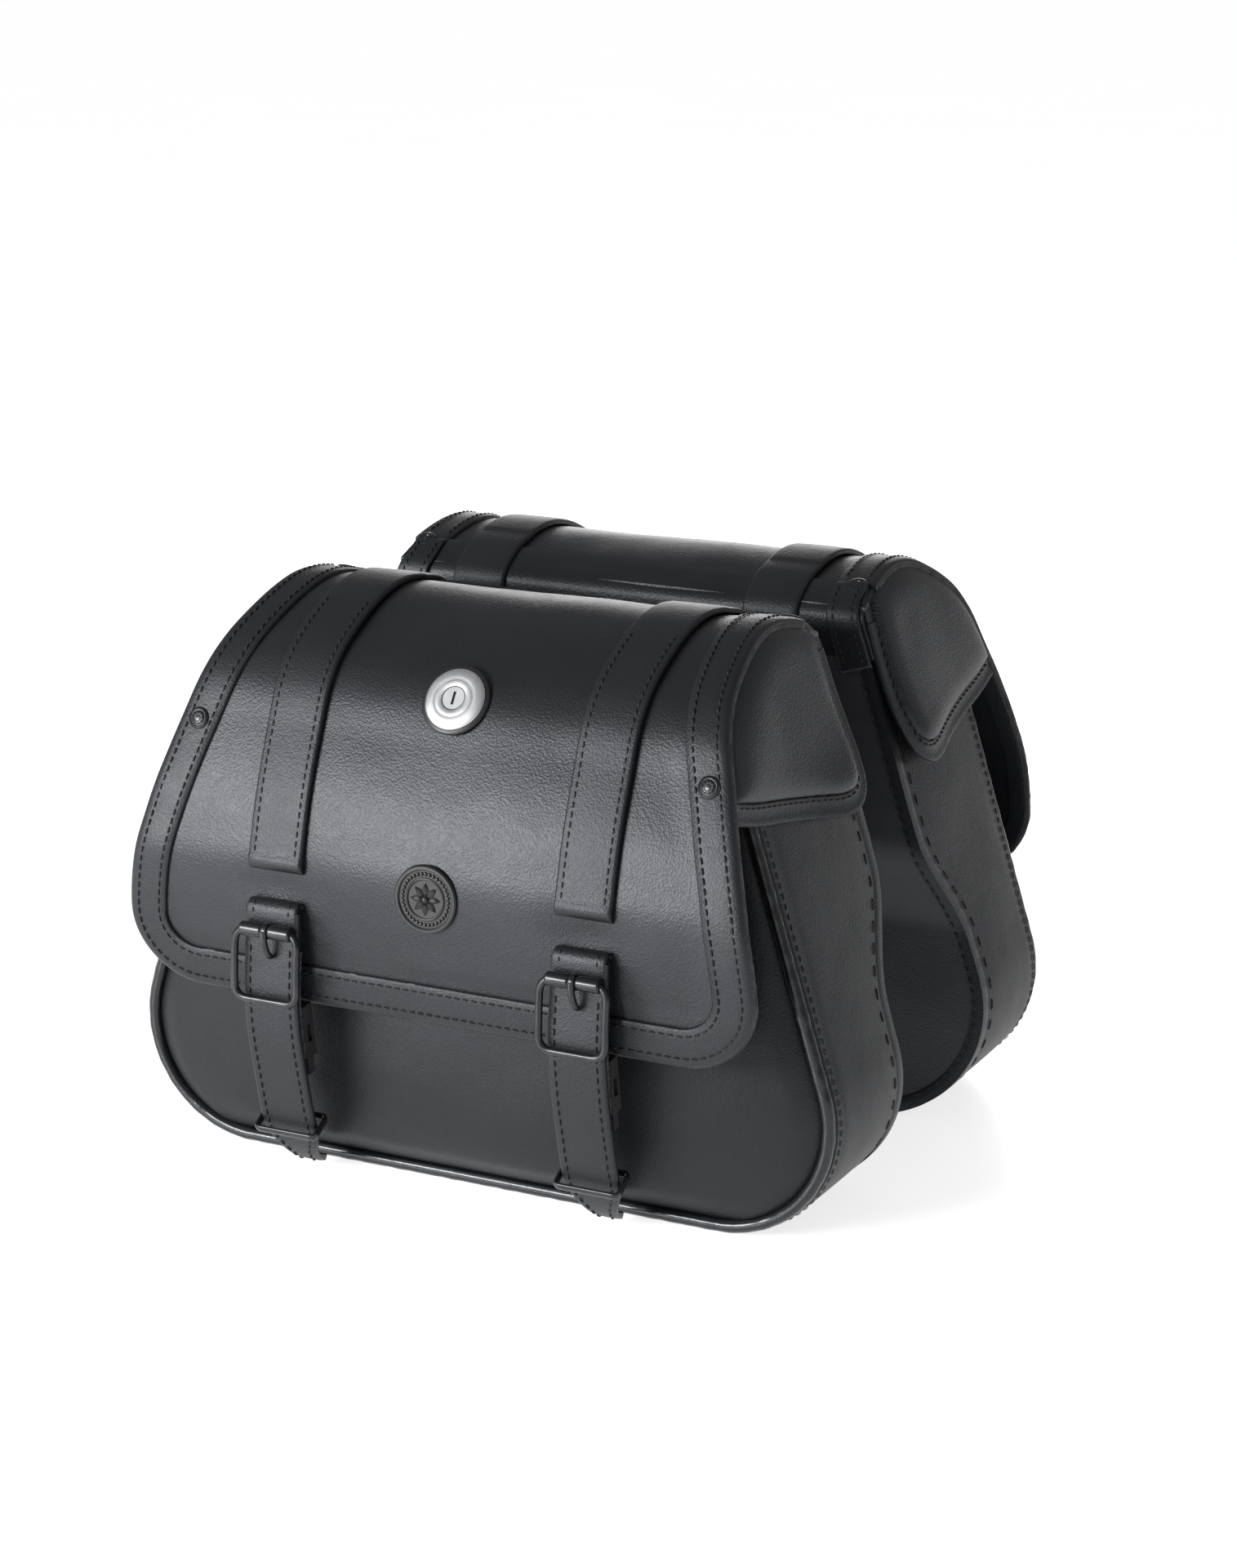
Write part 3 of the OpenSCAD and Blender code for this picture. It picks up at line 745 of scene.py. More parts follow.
# ---- end caps of the lid
EAR_BORDER = 10.5
EAR_FLARE = 7.0
EAR_FRONT = LID.where(1, 228)
EAR_TOP = Curve(LID.at(np.linspace(4, EAR_FRONT, 200)) - LID.normal(np.linspace(4, EAR_FRONT, 200)) * 1.5)
EAR_FREE = Curve(spline([tuple(EAR_TOP.points[0]), (30, 266), (29, 244), (30.5, 228), (36, 214.5), (48, 207),
                         (64, 206), (90, 210.5), (120, 216), (148, 221), tuple(EAR_TOP.points[-1])], 16))


def distance_to(curve, points):
    flat = points.reshape(-1, 2)
    line = curve.at(np.linspace(0, curve.length, 260))
    gap = np.linalg.norm(flat[:, None] - line[None], axis=2).min(1)
    return gap.reshape(points.shape[:-1])


def ear_out(yz):
    """How far the end cap's outer face stands out from the body's end at points (y, z)."""
    from_lid, from_free = distance_to(EAR_TOP, yz), distance_to(EAR_FREE, yz)
    shoulder = 3.0 + 8.5 * np.sqrt(1 - (1 - share(from_lid / 20)) ** 2)
    crown = 5.6 + 6.0 * np.sqrt(1 - (1 - share((from_free - EAR_BORDER) / 15)) ** 2)
    border = 4.4 - 0.8 * np.exp(-((from_free - EAR_BORDER) / 1.2) ** 2)
    low = np.where(from_free < EAR_BORDER, border, crown)
    soft = 1.2
    out = -soft * np.log(np.exp(-shoulder / soft) + np.exp(-low / soft))
    corner = np.exp(-(((yz[..., 0] - 44) / 44) ** 2 + ((yz[..., 1] - 206) / 34) ** 2))
    return out + EAR_FLARE * corner


def on_ear(yz, lift=0.0):
    return stack(body_half(yz[..., 1]) + ear_out(yz) + lift, yz[..., 0], yz[..., 1])


def ear():
    t = (1 - np.cos(pi * np.linspace(0.015, 0.985, 120))) / 2
    top, free = EAR_TOP.at(t * EAR_TOP.length), EAR_FREE.at(t * EAR_FREE.length)
    r = np.linspace(0, 1, 90)[:, None, None]
    yz = top[None] * (1 - r) + free[None] * r
    p = on_ear(yz)
    inside = np.minimum(distance_to(EAR_TOP, yz), distance_to(EAR_FREE, yz))
    p[..., 0] += ripple(p, 38.0, 0.9, 3.0) * share(inside / 25)
    return both_ends(shell(p, 2.2, (1, 0, 0)))


def ear_border():
    """The flat sewn strip along the cap's free edge, its rolled rim and its stitches."""
    s = np.linspace(7, EAR_FREE.length - 3, 190)
    edge, n = EAR_FREE.at(s), EAR_FREE.normal(s)
    middle = np.array([95.0, 250.0])
    n = n * np.sign(np.sum(n * (middle - edge), 1))[:, None]
    b = np.array([1.2, 0.0, -0.9, -1.0, -0.2, 1.2, 2.4, 5.0, 8.4,
                  EAR_BORDER - 1.2, EAR_BORDER - 0.4, EAR_BORDER - 0.6])
    h = np.array([-2.6, -2.7, -1.7, 0.2, 1.2, 1.35, 1.0, 0.85, 0.9, 0.85, 0.4, -1.5])
    yz = edge[:, None] + n[:, None] * b[None, :, None]
    base = on_ear(edge[:, None] + n[:, None] * np.clip(b, 0, EAR_BORDER - 3)[None, :, None])[..., 0]
    p = stack(base + h, yz[..., 0], yz[..., 1])
    row = edge + n * 8.0
    thread = stitches(on_ear(edge + n * 7.0, 0.9) * [1, 0, 0] + stack(0 * s, row[:, 0], row[:, 1]),
                      (cos(LEAN), 0, sin(LEAN)), pitch=5.6, length=4.2)
    return both_ends(capped(p)), both_ends(thread)


# ---- lock and badge
def lock_face():
    r = 16.5
    gasket = lathe([(0, 0.1), (r + 2.2, 0.1), (r + 2.3, 1.0), (r + 1.7, 1.7), (r - 0.5, 1.8), (0, 1.8)], 72)
    face = lathe([(0, 1.0), (r, 1.0), (r, 2.3), (r - 0.4, 2.9), (r - 1.2, 3.3), (r - 4.6, 4.1),
                  (r - 5.3, 4.05),
                  (r - 5.6, 3.5), (r - 6.0, 3.5), (r - 6.4, 4.2), (r - 7.0, 4.35), (6.9, 4.4), (6.5, 4.2),
                  (6.3, 3.6), (6.2, 2.0), (0, 2.0)], 96)
    return gasket, face


def keyway_painted_shade():
    """The bottom of the key slot, inside the turning core, in a dark matt finish that paints the shade inside
    the slot.
    """
    line = stack(np.zeros(9), np.linspace(-3.4, 3.4, 9), np.full(9, 1.1))
    wide = 0.72 * np.sqrt(1 - np.linspace(-0.97, 0.97, 9) ** 8)
    half = np.array([(-1, 0), (-1, 1.9), (-0.5, 2.1), (0.5, 2.1), (1, 1.9), (1, 0)])
    section = half[None] * stack(wide, np.ones(9))[:, None]
    return sweep(line, np.tile([1.0, 0, 0], (9, 1)), np.tile([0, 0, 1.0], (9, 1)), section)


def lock_barrel():
    """The barrel inside the lid, with its thread, and the nut that clamps it."""
    r, deep, pitch = 9.4, 19.5, 1.25
    z = np.arange(-deep + 1, -1, pitch / 2)
    thread = [(r - 0.7 * (i % 2), h) for i, h in enumerate(z)]
    barrel = lathe([(0, -deep), (r - 1.2, -deep)] + thread + [(r, 0.5), (0, 0.5)], 40)
    nut = lathe([(0, -9), (12.6, -9), (13.9, -8.3), (13.9, -5.7), (12.6, -5), (0, -5)], 6)
    return join(barrel, nut)


def badge():
    """A plain rosette medal: a rope rim round an eight-petalled flower."""
    r = (BADGE_HIGH[0] - BADGE_LOW[0]) / 2
    disc = lathe([(0, 0), (r - 0.4, 0), (r, 0.7), (r - 0.3, 1.9), (r - 1.0, 2.5), (r - 2.2, 2.6),
                  (r - 2.8, 2.2), (r - 3.0, 1.6), (r - 6.6, 1.6), (r - 6.9, 2.1), (r - 7.4, 2.3),
                  (r - 7.9, 2.1), (r - 8.2, 1.5), (0, 1.5)], 72)
    bead = [(0, -0.5), (1.1, -0.5), (1.1, 0.3), (0.8, 0.8), (0.35, 1.0), (0, 1.05)]
    parts = [disc] + bead_ring(bead, 12, 36, r - 4.8, 1.5)
    for k in range(8):
        a = 2 * pi * k / 8
        t = np.linspace(0, 1, 14)
        wide = 1.75 * np.sin(pi * t ** 0.8) + 0.05
        line = stack(cos(a) * (1.6 + 7.0 * t), sin(a) * (1.6 + 7.0 * t), 1.5 + 0 * t)
        side = np.tile([-sin(a), cos(a), 0], (len(t), 1))
        up = np.tile([0.0, 0, 1], (len(t), 1))
        half = np.array([(-1, -0.4), (-1, 0.2), (-0.6, 0.75), (0, 1.15), (0.6, 0.75), (1, 0.2), (1, -0.4)])
        section = half[None] * stack(wide, np.minimum(wide, 1.0))[:, None]
        parts.append(sweep(line, side, up, section))
    parts.append(place(lathe([(0, -0.4), (1.7, -0.4), (1.7, 1.0), (1.2, 1.6), (0.5, 1.8), (0, 1.85)], 24),
                       (0, 0, 1.5), (0, 0, 1)))
    return join(*parts)


# ---- buckled straps
def strap_up(s):
    return upright(STRAP.normal(s))


def tail_half(z):
    """Half width of a buckle strap at a height: full, then a rounded point at the tail."""
    t = share((31 - z) / 27.0)
    return STRAP_W / 2 * (1 - t ** 1.25 * 0.86)


TAB_TOP_Z = 158.5


def buckle_strap(centre):
    s = np.concatenate([np.linspace(STRAP.where(1, TAB_TOP_Z - 4), STRAP.length - 3, 190),
                        STRAP.length - 3 * (1 - np.sin(np.linspace(0, pi / 2, 8)[1:]))])
    p = on_curve(STRAP, s, centre)
    half = tail_half(p[:, 2])
    left = (STRAP.length - s).clip(0, 3) / 3
    tip = rounded(left, 0.02)
    section = each(strip_section(STRAP_W, STRAP_T + 0.3, -0.6), s)
    section[..., 0] *= (half / (STRAP_W / 2))[:, None] * (0.55 + 0.45 * tip)[:, None]
    section[..., 1] *= tip[:, None]
    sway = ripple(p, 30.0, 0.5, 2.0)
    p[:, 1] += sway * share(s / 30)
    return sweep(p, along_x(s), strap_up(s), section)


def strap_lining(centre):
    """The rough backing behind a buckle strap, narrower and frayed along its edges."""
    s = np.linspace(STRAP.where(1, 134), STRAP.where(1, 75), 110)
    section = each(strip_section(STRAP_W - 0.6, 2.2, -2.6, crown=0), s)
    fray = ripple(stack(s * 3, s, 0 * s), 5.0, 0.8, 9.0)
    section[..., 0] *= (1 + fray / 16)[:, None]
    return strap_along(STRAP, s, centre, section)


def strap_thread(centre):
    rows = []
    s = np.linspace(STRAP.where(1, 141), STRAP.length - 8, 160)
    z = STRAP.at(s)[:, 1]
    for side in (-1, 1):
        x = centre + side * (tail_half(z) - 4.2 * np.clip(tail_half(z) / 10, 0.35, 1))
        sway = ripple(on_curve(STRAP, s, centre), 30.0, 0.5, 2.0) * share(s / 30)
        line = on_curve(STRAP, s, x, STRAP_T - 0.1)
        line[:, 1] += sway
        rows.append(stitches(line, strap_up(s), pitch=5.6, length=4.2))
    return join(*rows)


def buckle_tab(centre):
    """The folded keeper of leather that holds the buckle to the lid, sewn across its top."""
    z = TAB_TOP_Z + np.array([-5, -1.4, 0, -0.6, -2.4, -5.5, -9.5, -14.5])
    y = np.array([189.0, 189.9, 192.2, 194.8, 196.5, 197.4, 197.6, 197.2])
    line = Curve(spline(stack(y, z), 8))
    s = np.linspace(0, line.length, 60)
    yz, n = line.at(s), line.normal(s)
    n *= np.where(n[:, :1] + n[:, 1:] < 0, -1, 1)
    p = stack(0 * s + centre, yz[:, 0], yz[:, 1])
    ply = upright(n)
    outer = sweep(p, along_x(s), ply, strip_section(STRAP_W - 2, 2.6, -1.9))
    inner = sweep(p + ply * -3.2, along_x(s), ply, strip_section(STRAP_W - 3, 2.4, -1.4))
    keep = (s > 8) & (s < line.length - 7)
    rows = [stitches(p[keep] + [side * (STRAP_W / 2 - 5.5), 0, 0] + ply[keep] * 0.8, ply[keep], pitch=3.8,
                     length=2.8, thick=0.4, start=0.5, end=0.5) for side in (-1, 1)]
    return join(outer, inner), join(*rows)


def rounded_rectangle(half_x, low_y, high_y, r):
    """A closed line in a plane, from rounded corners joined by straight runs."""
    points = []
    for cx, cy, a0 in ((half_x - r, high_y - r, 0), (-half_x + r, high_y - r, 90),
                       (-half_x + r, low_y + r, 180), (half_x - r, low_y + r, 270)):
        a = np.radians(a0 + np.linspace(0, 90, 10))
        points.append(stack(cx + r * np.cos(a), cy + r * np.sin(a)))
    line = np.vstack(points + [points[0][:1]])
    curve = Curve(line)
    s = np.linspace(0, curve.length, 72, endpoint=False)
    return curve.at(s)


BUCKLE_DROP = 37.0
BUCKLE_TILT = radians(3.9)
WIRE = (BUCKLE_HIGH[2] - BAR[2])


def buckle_frame(centre):
    flat = rounded_rectangle((BUCKLE_HIGH[0] - BUCKLE_LOW[0]) / 2 - WIRE, -BUCKLE_DROP, 0, 6.5)
    bow = 1.0 * (1 - ((flat[:, 1] + BUCKLE_DROP / 2) / (BUCKLE_DROP / 2)) ** 2)
    p = stack(flat[:, 0] + centre, bow, flat[:, 1])
    p[:, 1], p[:, 2] = (p[:, 1] * cos(BUCKLE_TILT) - p[:, 2] * sin(BUCKLE_TILT),
                        p[:, 1] * sin(BUCKLE_TILT) + p[:, 2] * cos(BUCKLE_TILT))
    return tube(p + [0, BAR[1], BAR[2]], WIRE, 18, closed=True)


def sleeves(centre):
    parts = []
    for side in (-1, 1):
        near, far = 1.95, 15.0
        profile = [(0, near), (3.3, near), (3.72, near + 0.4), (3.8, near + 1.2), (3.8, far - 1.2),
                   (3.7, far - 0.4), (3.2, far), (0, far)]
        parts.append(place(lathe(profile, 28), (centre, BAR[1], BAR[2]), (side, 0, 0), (0, 0, 1)))
    return join(*parts)


PRONG_REACH = 15.5


def prong(centre):
    t = np.linspace(0, 1, 30)
    y = 3.3 - 3.0 * t ** 0.9 + 1.6 * np.sin(pi * t) - 2.2 * share((t - 0.8) / 0.2) ** 1.5
    p = stack(centre + 2.0 * t ** 1.5, BAR[1] + y, BAR[2] + 1.0 - PRONG_REACH * t)
    r = 2.0 - 0.35 * t
    r[-4:] *= np.array([0.98, 0.9, 0.7, 0.35])
    pin = tube(p, r, 14, hint=(0, 1, 0))
    a = turn(28)
    ring = stack(0 * a + centre, BAR[1] + 3.35 * np.cos(a), BAR[2] + 3.35 * np.sin(a))
    across, up = frames(ring, (1, 0, 0), closed=True)
    section = [(0.62, 1.7), (0.85, 1.3), (0.85, -1.3), (0.62, -1.7), (-0.6, -1.7), (-0.7, 0), (-0.6, 1.7)]
    return join(pin, sweep(ring, across, up, section, closed=True))


def keeper(centre):
    """The flat wire ring that holds a strap's tail down."""
    low, high = box_mm("right_strap_keepers")
    wire = 1.7
    half = high[0] - STRAP_X - wire
    flat = rounded_rectangle(half, -1.4, high[1] - low[1] - 2.6 * wire, 2.2)
    lean = radians(28)
    front = np.array([centre, high[1] - wire, low[2] + wire])
    p = stack(flat[:, 0], -flat[:, 1] * cos(lean), flat[:, 1] * sin(lean)) + front
    across, up = frames(p, (0, sin(lean), cos(lean)), closed=True)
    r = turn(12)
    section = stack(1.0 * np.sign(np.cos(r)) * np.abs(np.cos(r)) ** 0.6,
                    2.1 * np.sign(np.sin(r)) * np.abs(np.sin(r)) ** 0.6)
    return sweep(p, across, up, section, closed=True)


# ---- the body
def back_y(z):
    order = np.argsort(BACK.points[:, 1])
    return np.interp(z, BACK.points[order, 1], BACK.points[order, 0])


GUSSET_OUTLINE = Curve(body_outline())


def gusset_points(a, b, lift=0.0):
    """Points of the gusset at outline length a and share b from the back edge to the front."""
    xz = GUSSET_OUTLINE.at(a)
    t = GUSSET_OUTLINE.tangent(a)
    out = stack(t[..., 1], -t[..., 0])
    y0 = back_y(xz[..., 1]) + 0.4
    y1 = PIPING_Y - 2.4
    full = share((xz[..., 1] - 2) / 60)
    swell = 2.2 * np.sin(pi * b) ** 0.7 * full - 0.5 * (np.exp(-((b - 0.93) / 0.03) ** 2)) * full
    xz = xz + out * (swell + lift)[..., None]
    return stack(xz[..., 0], y0 + (y1 - y0) * b, xz[..., 1]), out


def gusset():
    a = np.linspace(0, GUSSET_OUTLINE.length, 190)[:, None]
    b = np.linspace(0, 1, 30)[None]
    a, b = np.broadcast_arrays(a, b)
    p, out = gusset_points(a, b)
    rough = ripple(p, 55.0, 0.9, 4.0) + ripple(p, 17.0, 0.18, 8.0)
    full = share((p[..., 2] - 6) / 40) * np.sin(pi * b) ** 0.5
    p[..., 0] += out[..., 0] * rough * full
    p[..., 2] = np.maximum(p[..., 2], 0.0)
    return shell(p, LEATHER, (0, 0, -1))


def gusset_thread():
    rows = []
    a = np.linspace(4, GUSSET_OUTLINE.length - 4, 400)
    y0, y1 = back_y(GUSSET_OUTLINE.at(a)[:, 1]), PIPING_Y - 2.4
    by_piping, by_back = 1 - 3.2 / (y1 - y0), 10.5 / (y1 - y0)
    for b, pitch, length, thick in ((by_piping, 5.4, 4.0, 0.34), (by_back, 12.0, 7.6, 0.42)):
        p, out = gusset_points(a, b, 0.1)
        p[:, 2] = np.maximum(p[:, 2], 0.45)
        keep = p[:, 2] > 8
        for part in both_sides(keep, p[:, 0]):
            rows.append(stitches(p[part], stack(out[part, 0], 0 * out[part, 0], out[part, 1]),
                                 pitch=pitch, length=length, thick=thick))
    return join(*rows)


def edge_binding():
    """The sewn corner strip where the gusset meets the back panel, from lip to lip."""
    line = Curve(body_outline(0, 268))
    s = np.linspace(0, line.length, 260)
    xz, t = line.at(s), line.tangent(s)
    out = stack(t[:, 1], 0 * s, -t[:, 0])
    corner = stack(xz[:, 0], back_y(xz[:, 1]), xz[:, 1])
    run = unit(np.gradient(corner, axis=0))
    along_gusset = unit(np.cross(run, out)) * -1
    along_gusset *= np.sign(along_gusset[:, 1:2])
    where = np.interp(xz[:, 1], *zip(*sorted(zip(BACK.points[:, 1], BACK.at_length))))
    behind = upright(BACK.normal(where))
    behind *= -np.sign(behind[:, 1:2])
    inward = unit(np.cross(run, behind))
    inward *= np.sign(-np.sum(inward * out, 1))[:, None]
    wide, thick = 7.0, 1.1
    rows = [corner + along_gusset * wide - out * 0.8, corner + along_gusset * wide + out * thick * 0.6,
            corner + along_gusset * (wide - 1) + out * thick, corner + along_gusset * 2 + out * thick,
            corner + out * thick * 0.8 + behind * thick * 0.8 - along_gusset * 0.2,
            corner + inward * 2 + behind * thick, corner + inward * (wide - 1) + behind * thick,
            corner + inward * wide + behind * thick * 0.6, corner + inward * wide - behind * 0.8,
            corner + inward * 3 - out * 0.2 - behind * 1.5 + along_gusset * 0.5]
    p = np.stack(rows, 1)
    p[..., 2] = np.maximum(p[..., 2], 0.02)
    keep = (xz[:, 1] > 5)
    row = corner + inward * 5.4 + behind * thick
    thread = [stitches(row[part], behind[part], pitch=6.6, length=5.0, thick=0.4)
              for part in both_sides(keep, xz[:, 0])]
    return capped(p), join(*thread)


def front_panel():
    top = PANEL_HIGH[2]
    inset = PIPING_R * 1.7
    z = inset + (top - inset) * np.linspace(0, 1, 70) ** 1.25
    u = np.sin(np.linspace(-pi / 2, pi / 2, 90))
    z, u = np.meshgrid(z, u, indexing="ij")
    x = u * outline_half(z, inset)
    full = PANEL_HIGH[1] - (PIPING_Y + LEATHER / 2)
    h = share((z - inset) / (214 - inset)) ** 0.72
    swell = full * np.maximum(1 - u * u, 0) ** 0.75 * np.abs(np.sin(pi * h)) ** 0.8
    near_edge = np.minimum(outline_half(z, inset) - np.abs(x), z - inset)
    roll = 4.6 * np.sqrt(1 - (1 - share(near_edge / 11)) ** 2)
    swell = np.maximum(swell, 0) * share(near_edge / 14) ** 0.5
    p = stack(x, PIPING_Y - 2.6 + roll * share((top - z) / 25) + swell, z)
    quiet = share(np.maximum(1 - u * u, 0) * 6) * share(z / 30)
    p[..., 1] += (ripple(p, 60.0, 1.4, 6.0) + ripple(p, 20.0, 0.25, 1.0)) * quiet
    return shell(p, LEATHER)


def piping():
    line = Curve(body_outline(PIPING_R + 0.3, 264))
    s = np.linspace(0, line.length, 330)
    xz = line.at(s)
    p = stack(xz[:, 0], np.full_like(s, PIPING_Y), xz[:, 1])
    r = PIPING_R * (0.96 + 0.02 * np.sin(s / 2.6) + 0.02 * np.sin(s / 1.7 + 1))
    return tube(p, r, 16, hint=(0, 1, 0))


def back_panel():
    s = np.linspace(BACK.where(1, 283.5), BACK.length - 0.5, 110)
    z = BACK.at(s)[:, 1]
    u = np.linspace(-1, 1, 80)
    half = outline_half(np.clip(z, 1.5, None), 1.2)
    x = u[None] * half[:, None]
    quiet = share(np.maximum(1 - u * u, 0)[None] * 5) * share((z[:, None] - 4) / 25)
    base = on_curve(BACK, s[:, None], x)
    lift = (ripple(base, 60.0, 1.0, 7.0) + ripple(base, 22.0, 0.22, 2.0)) * quiet
    lift = -lift * (base[..., 2] < 150) - 0.3 * lift * (base[..., 2] >= 150)
    return shell(on_curve(BACK, s[:, None], x, lift), LEATHER, (0, -1, 0))


# ---- the yoke
def yoke_strap(centre):
    width, thick = 50.0, 3.2
    half = BACK_Y - thick / 2
    top = box_mm("yoke_straps")[1][2] - thick / 2
    low = box_mm("yoke_straps")[0][2]
    r = 7.0
    a = np.linspace(0, pi / 2, 10)
    right = np.vstack([[[half, z] for z in np.linspace(low, top - r, 14)[:-1]],
                       stack(half - r + r * np.cos(a), top - r + r * np.sin(a))])
    across = np.linspace(half - r, -half + r, 16)[1:-1]
    middle = stack(across, top - 1.2 * (1 - (across / (half - r)) ** 2))
    line = np.vstack([right, middle, right[::-1] * [-1, 1]])
    curve = Curve(line)
    s = np.linspace(0, curve.length, 110)
    yz, n = curve.at(s), -curve.normal(s)
    p = stack(0 * s + centre, yz[:, 0], yz[:, 1])
    up = upright(n)
    strap = sweep(p, along_x(s), up, strip_section(width, thick, -thick / 2, crown=0))
    rows = [stitches(p[4:-4] + [side * (width / 2 - 4), 0, 0] + up[4:-4] * thick / 2, up[4:-4])
            for side in (-1, 1)]
    return strap, join(*rows)


# ---- putting the bags together
def dress_lid():
    emit("lid_shell", lid_panel(), HIDE, "lid", ["lid_panel"])
    emit("lid_edge_strip", lid_binding(), BINDING_HIDE, "lid", ["lid_binding"])
    emit("lid_cut_edge", lid_cut_edge(), EDGE, "lid", slot="binding")
    emit("lid_thread", lid_stitching(), THREAD, "lid")
    emit("end_caps", ear(), HIDE, "lid", ["lid_ears"])
    strip, thread = ear_border()
    emit("end_cap_strips", strip, BINDING_HIDE, "lid")
    emit("end_cap_thread", thread, THREAD, "lid")
    for name, centre in ENDS:
        emit(f"{name}_lid_strap", lid_strap(centre), STRAP_HIDE, "lid", ["lid_straps"], hinge=True)
    emit("crease", hinge_sheet(), HIDE, "lid", ["hinge_straps"], hinge=True)
    for name, sign in (("fore", 1), ("aft", -1)):
        tab, thread = hinge_tab(sign)
        emit(f"{name}_corner_tab", tab, STRAP_HIDE, "lid", hinge=True)
        emit(f"{name}_corner_tab_thread", thread, THREAD, "lid", hinge=True)
    caps = join(*[rivet(s, x) for s, half in ((RIVET_S, 146.7), (RIVET_TOP_S, 132.0)) for x in (-half, half)])
    emit("rivet_caps", caps, BLACK_METAL, "lid", ["lid_rivets"])
    origin, out = on_lid(BADGE_S, 0, 0.9), lid_normal(BADGE_S, 0)
    emit("medal", place(badge(), origin, out), BADGE_RUBBER, "lid", ["badge"], angle=35)


def dress_lock():
    origin, out = on_lid(LOCK_S, 0, 0.4), lid_normal(LOCK_S, 0)
    gasket, face = lock_face()
    emit("lock_gasket", place(gasket, origin, out), BADGE_RUBBER, "lid")
    emit("lock_face", place(face, origin, out), LOCK_SILVER, "lid", ["lock_housing"], angle=30)
    # Painted shade: a dark matt insert at the bottom of the key slot, standing in for the shade inside it.
    emit("keyway_painted_shade", place(keyway_painted_shade(), origin, out), EDGE, "lock", slot="black_metal")
    emit("lock_barrel", place(lock_barrel(), origin, out), CHROME, "lid", angle=30)


def dress_straps():
    for name, centre in ENDS:
        emit(f"{name}_strap", buckle_strap(centre), STRAP_HIDE, "lid", ["buckle_straps"])
        emit(f"{name}_strap_lining", strap_lining(centre), EDGE, "lid", slot="strap_leather")
        emit(f"{name}_strap_thread", strap_thread(centre), THREAD, "lid")
        tab, thread = buckle_tab(centre)
        emit(f"{name}_tab", tab, STRAP_HIDE, "lid", ["buckle_tabs"])
        emit(f"{name}_tab_thread", thread, THREAD, "lid")
        emit(f"{name}_sleeve", sleeves(centre), BLACK_METAL, "lid", ["buckle_sleeves"])
        emit(f"{name}_frame_wire", buckle_frame(centre), BLACK_METAL, f"{name}_frame",
             [f"{name}_buckle_frame"])
        emit(f"{name}_pin", prong(centre), BLACK_METAL, f"{name}_prong", [f"{name}_prong"])
        emit(f"{name}_keeper", keeper(centre), BLACK_METAL, "lid", ["strap_keepers"])


def dress_body():
    # The gusset and the front panel wear the darker copy of the hide, which is painted shade.
    emit("gusset_leather", gusset(), BODY_HIDE_PAINTED_SHADE, "root", ["gusset"])
    emit("gusset_thread", gusset_thread(), THREAD, "root")
    strip, thread = edge_binding()
    emit("back_edge_strip", strip, BINDING_HIDE, "root")
    emit("back_edge_thread", thread, THREAD, "root")
    emit("front_leather", front_panel(), BODY_HIDE_PAINTED_SHADE, "root", ["front_panel"])
    emit("piping_cord", piping(), PIPE_HIDE, "root", ["piping"])
    # The back panel wears the lighter copy of the hide, which is painted light in the shade between the bags.
    emit("back_leather", back_panel(), BACK_HIDE_PAINTED_LIGHT, "root", ["back_panel"])


def dress_yoke():
    low, high = box_mm("yoke_straps")
    for name, centre in (("fore", high[0] - 25), ("aft", low[0] + 25)):
        strap, thread = yoke_strap(centre)
        emit(f"yoke_{name}_strap", strap, STRAP_HIDE, "root", sides=("right",))
        emit(f"yoke_{name}_thread", thread, THREAD, "root", sides=("right",))
    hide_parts("yoke_straps")


def finish_cad_parts():
    """The CAD's own hard parts keep their shape and get their materials."""
    looks = {"stiffeners": PLASTIC, "grommets": BLACK_METAL, "lock_striker": BLACK_METAL,
             "lock_core": LOCK_SILVER, "lock_cam": BLACK_METAL,
             "clip_sockets": PLASTIC, "clip_plug": PLASTIC, "yoke_screws": BLACK_METAL}
    for node, piece in frame["nodes"].items():
        for ending, material in looks.items():
            if node.endswith(ending):
                piece.data.materials.clear()
                piece.data.materials.append(material)


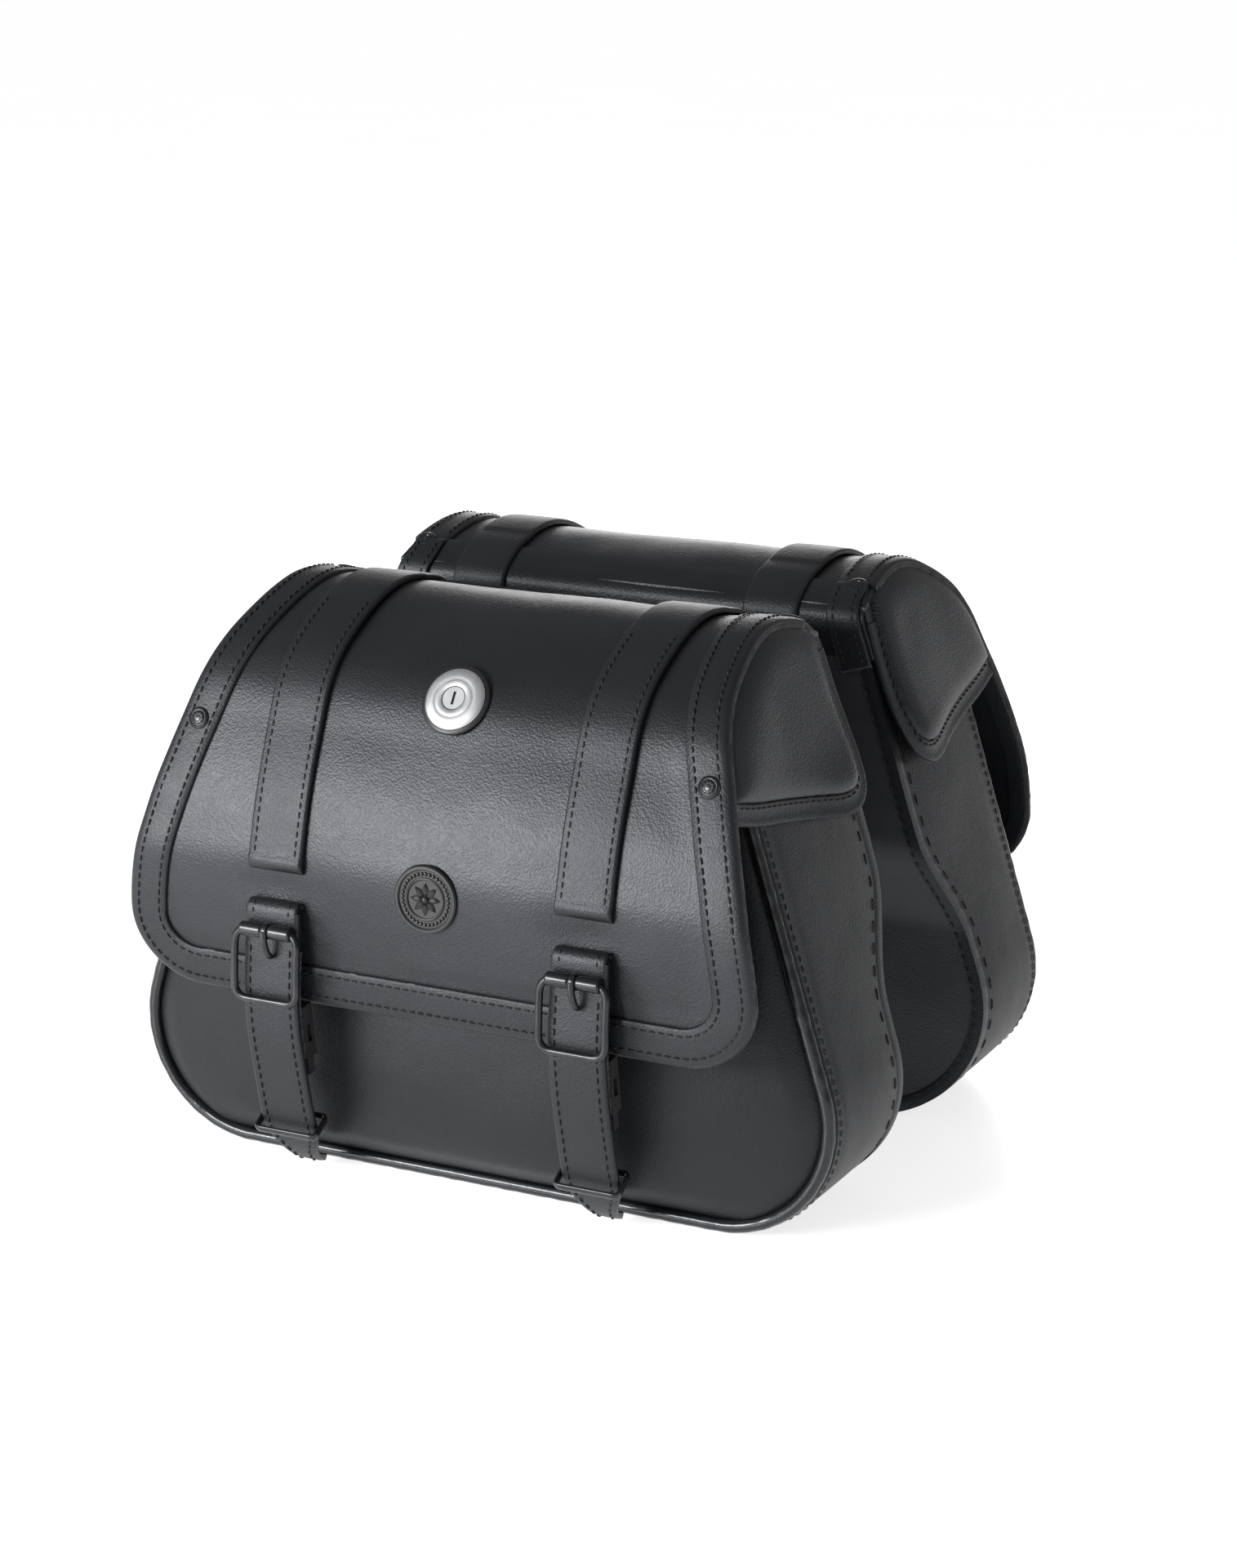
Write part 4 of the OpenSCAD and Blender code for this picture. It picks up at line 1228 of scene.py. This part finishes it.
# ---- floor, light and camera
# Each softbox: name, place, aim, size and power in watts.
SOFTBOXES = (("key", (-0.95, -1.85, 0.65), (0, -0.1, 0.18), (1.0, 0.52), 46),
             ("wrap", (-1.2, -1.7, 1.25), (0, -0.1, 0.2), (1.6, 1.3), 3),
             ("fill", (2.2, 0.6, 0.9), (0, 0, 0.15), (1.0, 1.0), 1.4),
             ("back", (-0.7, 2.1, 0.55), (0, 0.1, 0.2), (1.2, 0.7), 11))
CAMERA_AZIMUTH, CAMERA_ELEVATION = radians(26.81), radians(15.83)
CAMERA_DISTANCE, CAMERA_LENS, CAMERA_SENSOR = 1.9818, 82.28, 36.0
CAMERA_TARGET = Vector((0.0001, 0.0219, 0.1781))
FLOOR_GLOW = 0.745
SKY = 0.27


def studio():
    material, tree, bsdf = shader("floor_paint")
    mottle, = textures(tree, ("Noise", dict(Scale=3.0, Detail=2.0)))
    feed(tree, bsdf, "Base Color", mottle, [(0.3, grey(0.88)), (0.7, grey(0.90))])
    bsdf.inputs["Roughness"].default_value = 0.35
    data = bpy.data.meshes.new("floor")
    size = 12.0
    corners = [(-size, -size, 0), (size, -size, 0), (size, size, 0), (-size, size, 0)]
    data.from_pydata(corners, [], [(0, 1, 2, 3)])
    data.materials.append(material)
    floor = add_object("floor", data)
    bsdf.inputs["Emission Color"].default_value = (1.0, 1.0, 1.0, 1)
    bsdf.inputs["Emission Strength"].default_value = FLOOR_GLOW
    world = bpy.data.worlds.new("studio")
    bpy.context.scene.world = world
    world.use_nodes = True
    world.node_tree.nodes["Background"].inputs[0].default_value = (1.0, 1.0, 1.0, 1)
    world.node_tree.nodes["Background"].inputs[1].default_value = SKY
    bpy.context.scene.view_settings.view_transform = "Standard"


def softbox(name, at, aim, size, power):
    light = bpy.data.lights.new(name, "AREA")
    light.shape = "RECTANGLE"
    light.size, light.size_y = size
    light.energy = power
    lamp = add_object(name, light)
    lamp.location = at
    lamp.rotation_euler = (Vector(aim) - Vector(at)).to_track_quat("-Z", "Y").to_euler()


def camera():
    azimuth, elevation = CAMERA_AZIMUTH, CAMERA_ELEVATION
    data = bpy.data.cameras.new("camera")
    data.lens, data.sensor_width = CAMERA_LENS, CAMERA_SENSOR
    lens = add_object("camera", data)
    away = Vector((sin(azimuth) * cos(elevation), -cos(azimuth) * cos(elevation), sin(elevation)))
    lens.location = CAMERA_TARGET + away * CAMERA_DISTANCE
    lens.rotation_euler = (-away).to_track_quat("-Z", "Y").to_euler()
    bpy.context.scene.camera = lens


dress_body()
dress_lid()
dress_lock()
dress_straps()
dress_yoke()
finish_cad_parts()
studio()
for lamp in SOFTBOXES:
    softbox(*lamp)
camera()
bpy.context.view_layer.update()
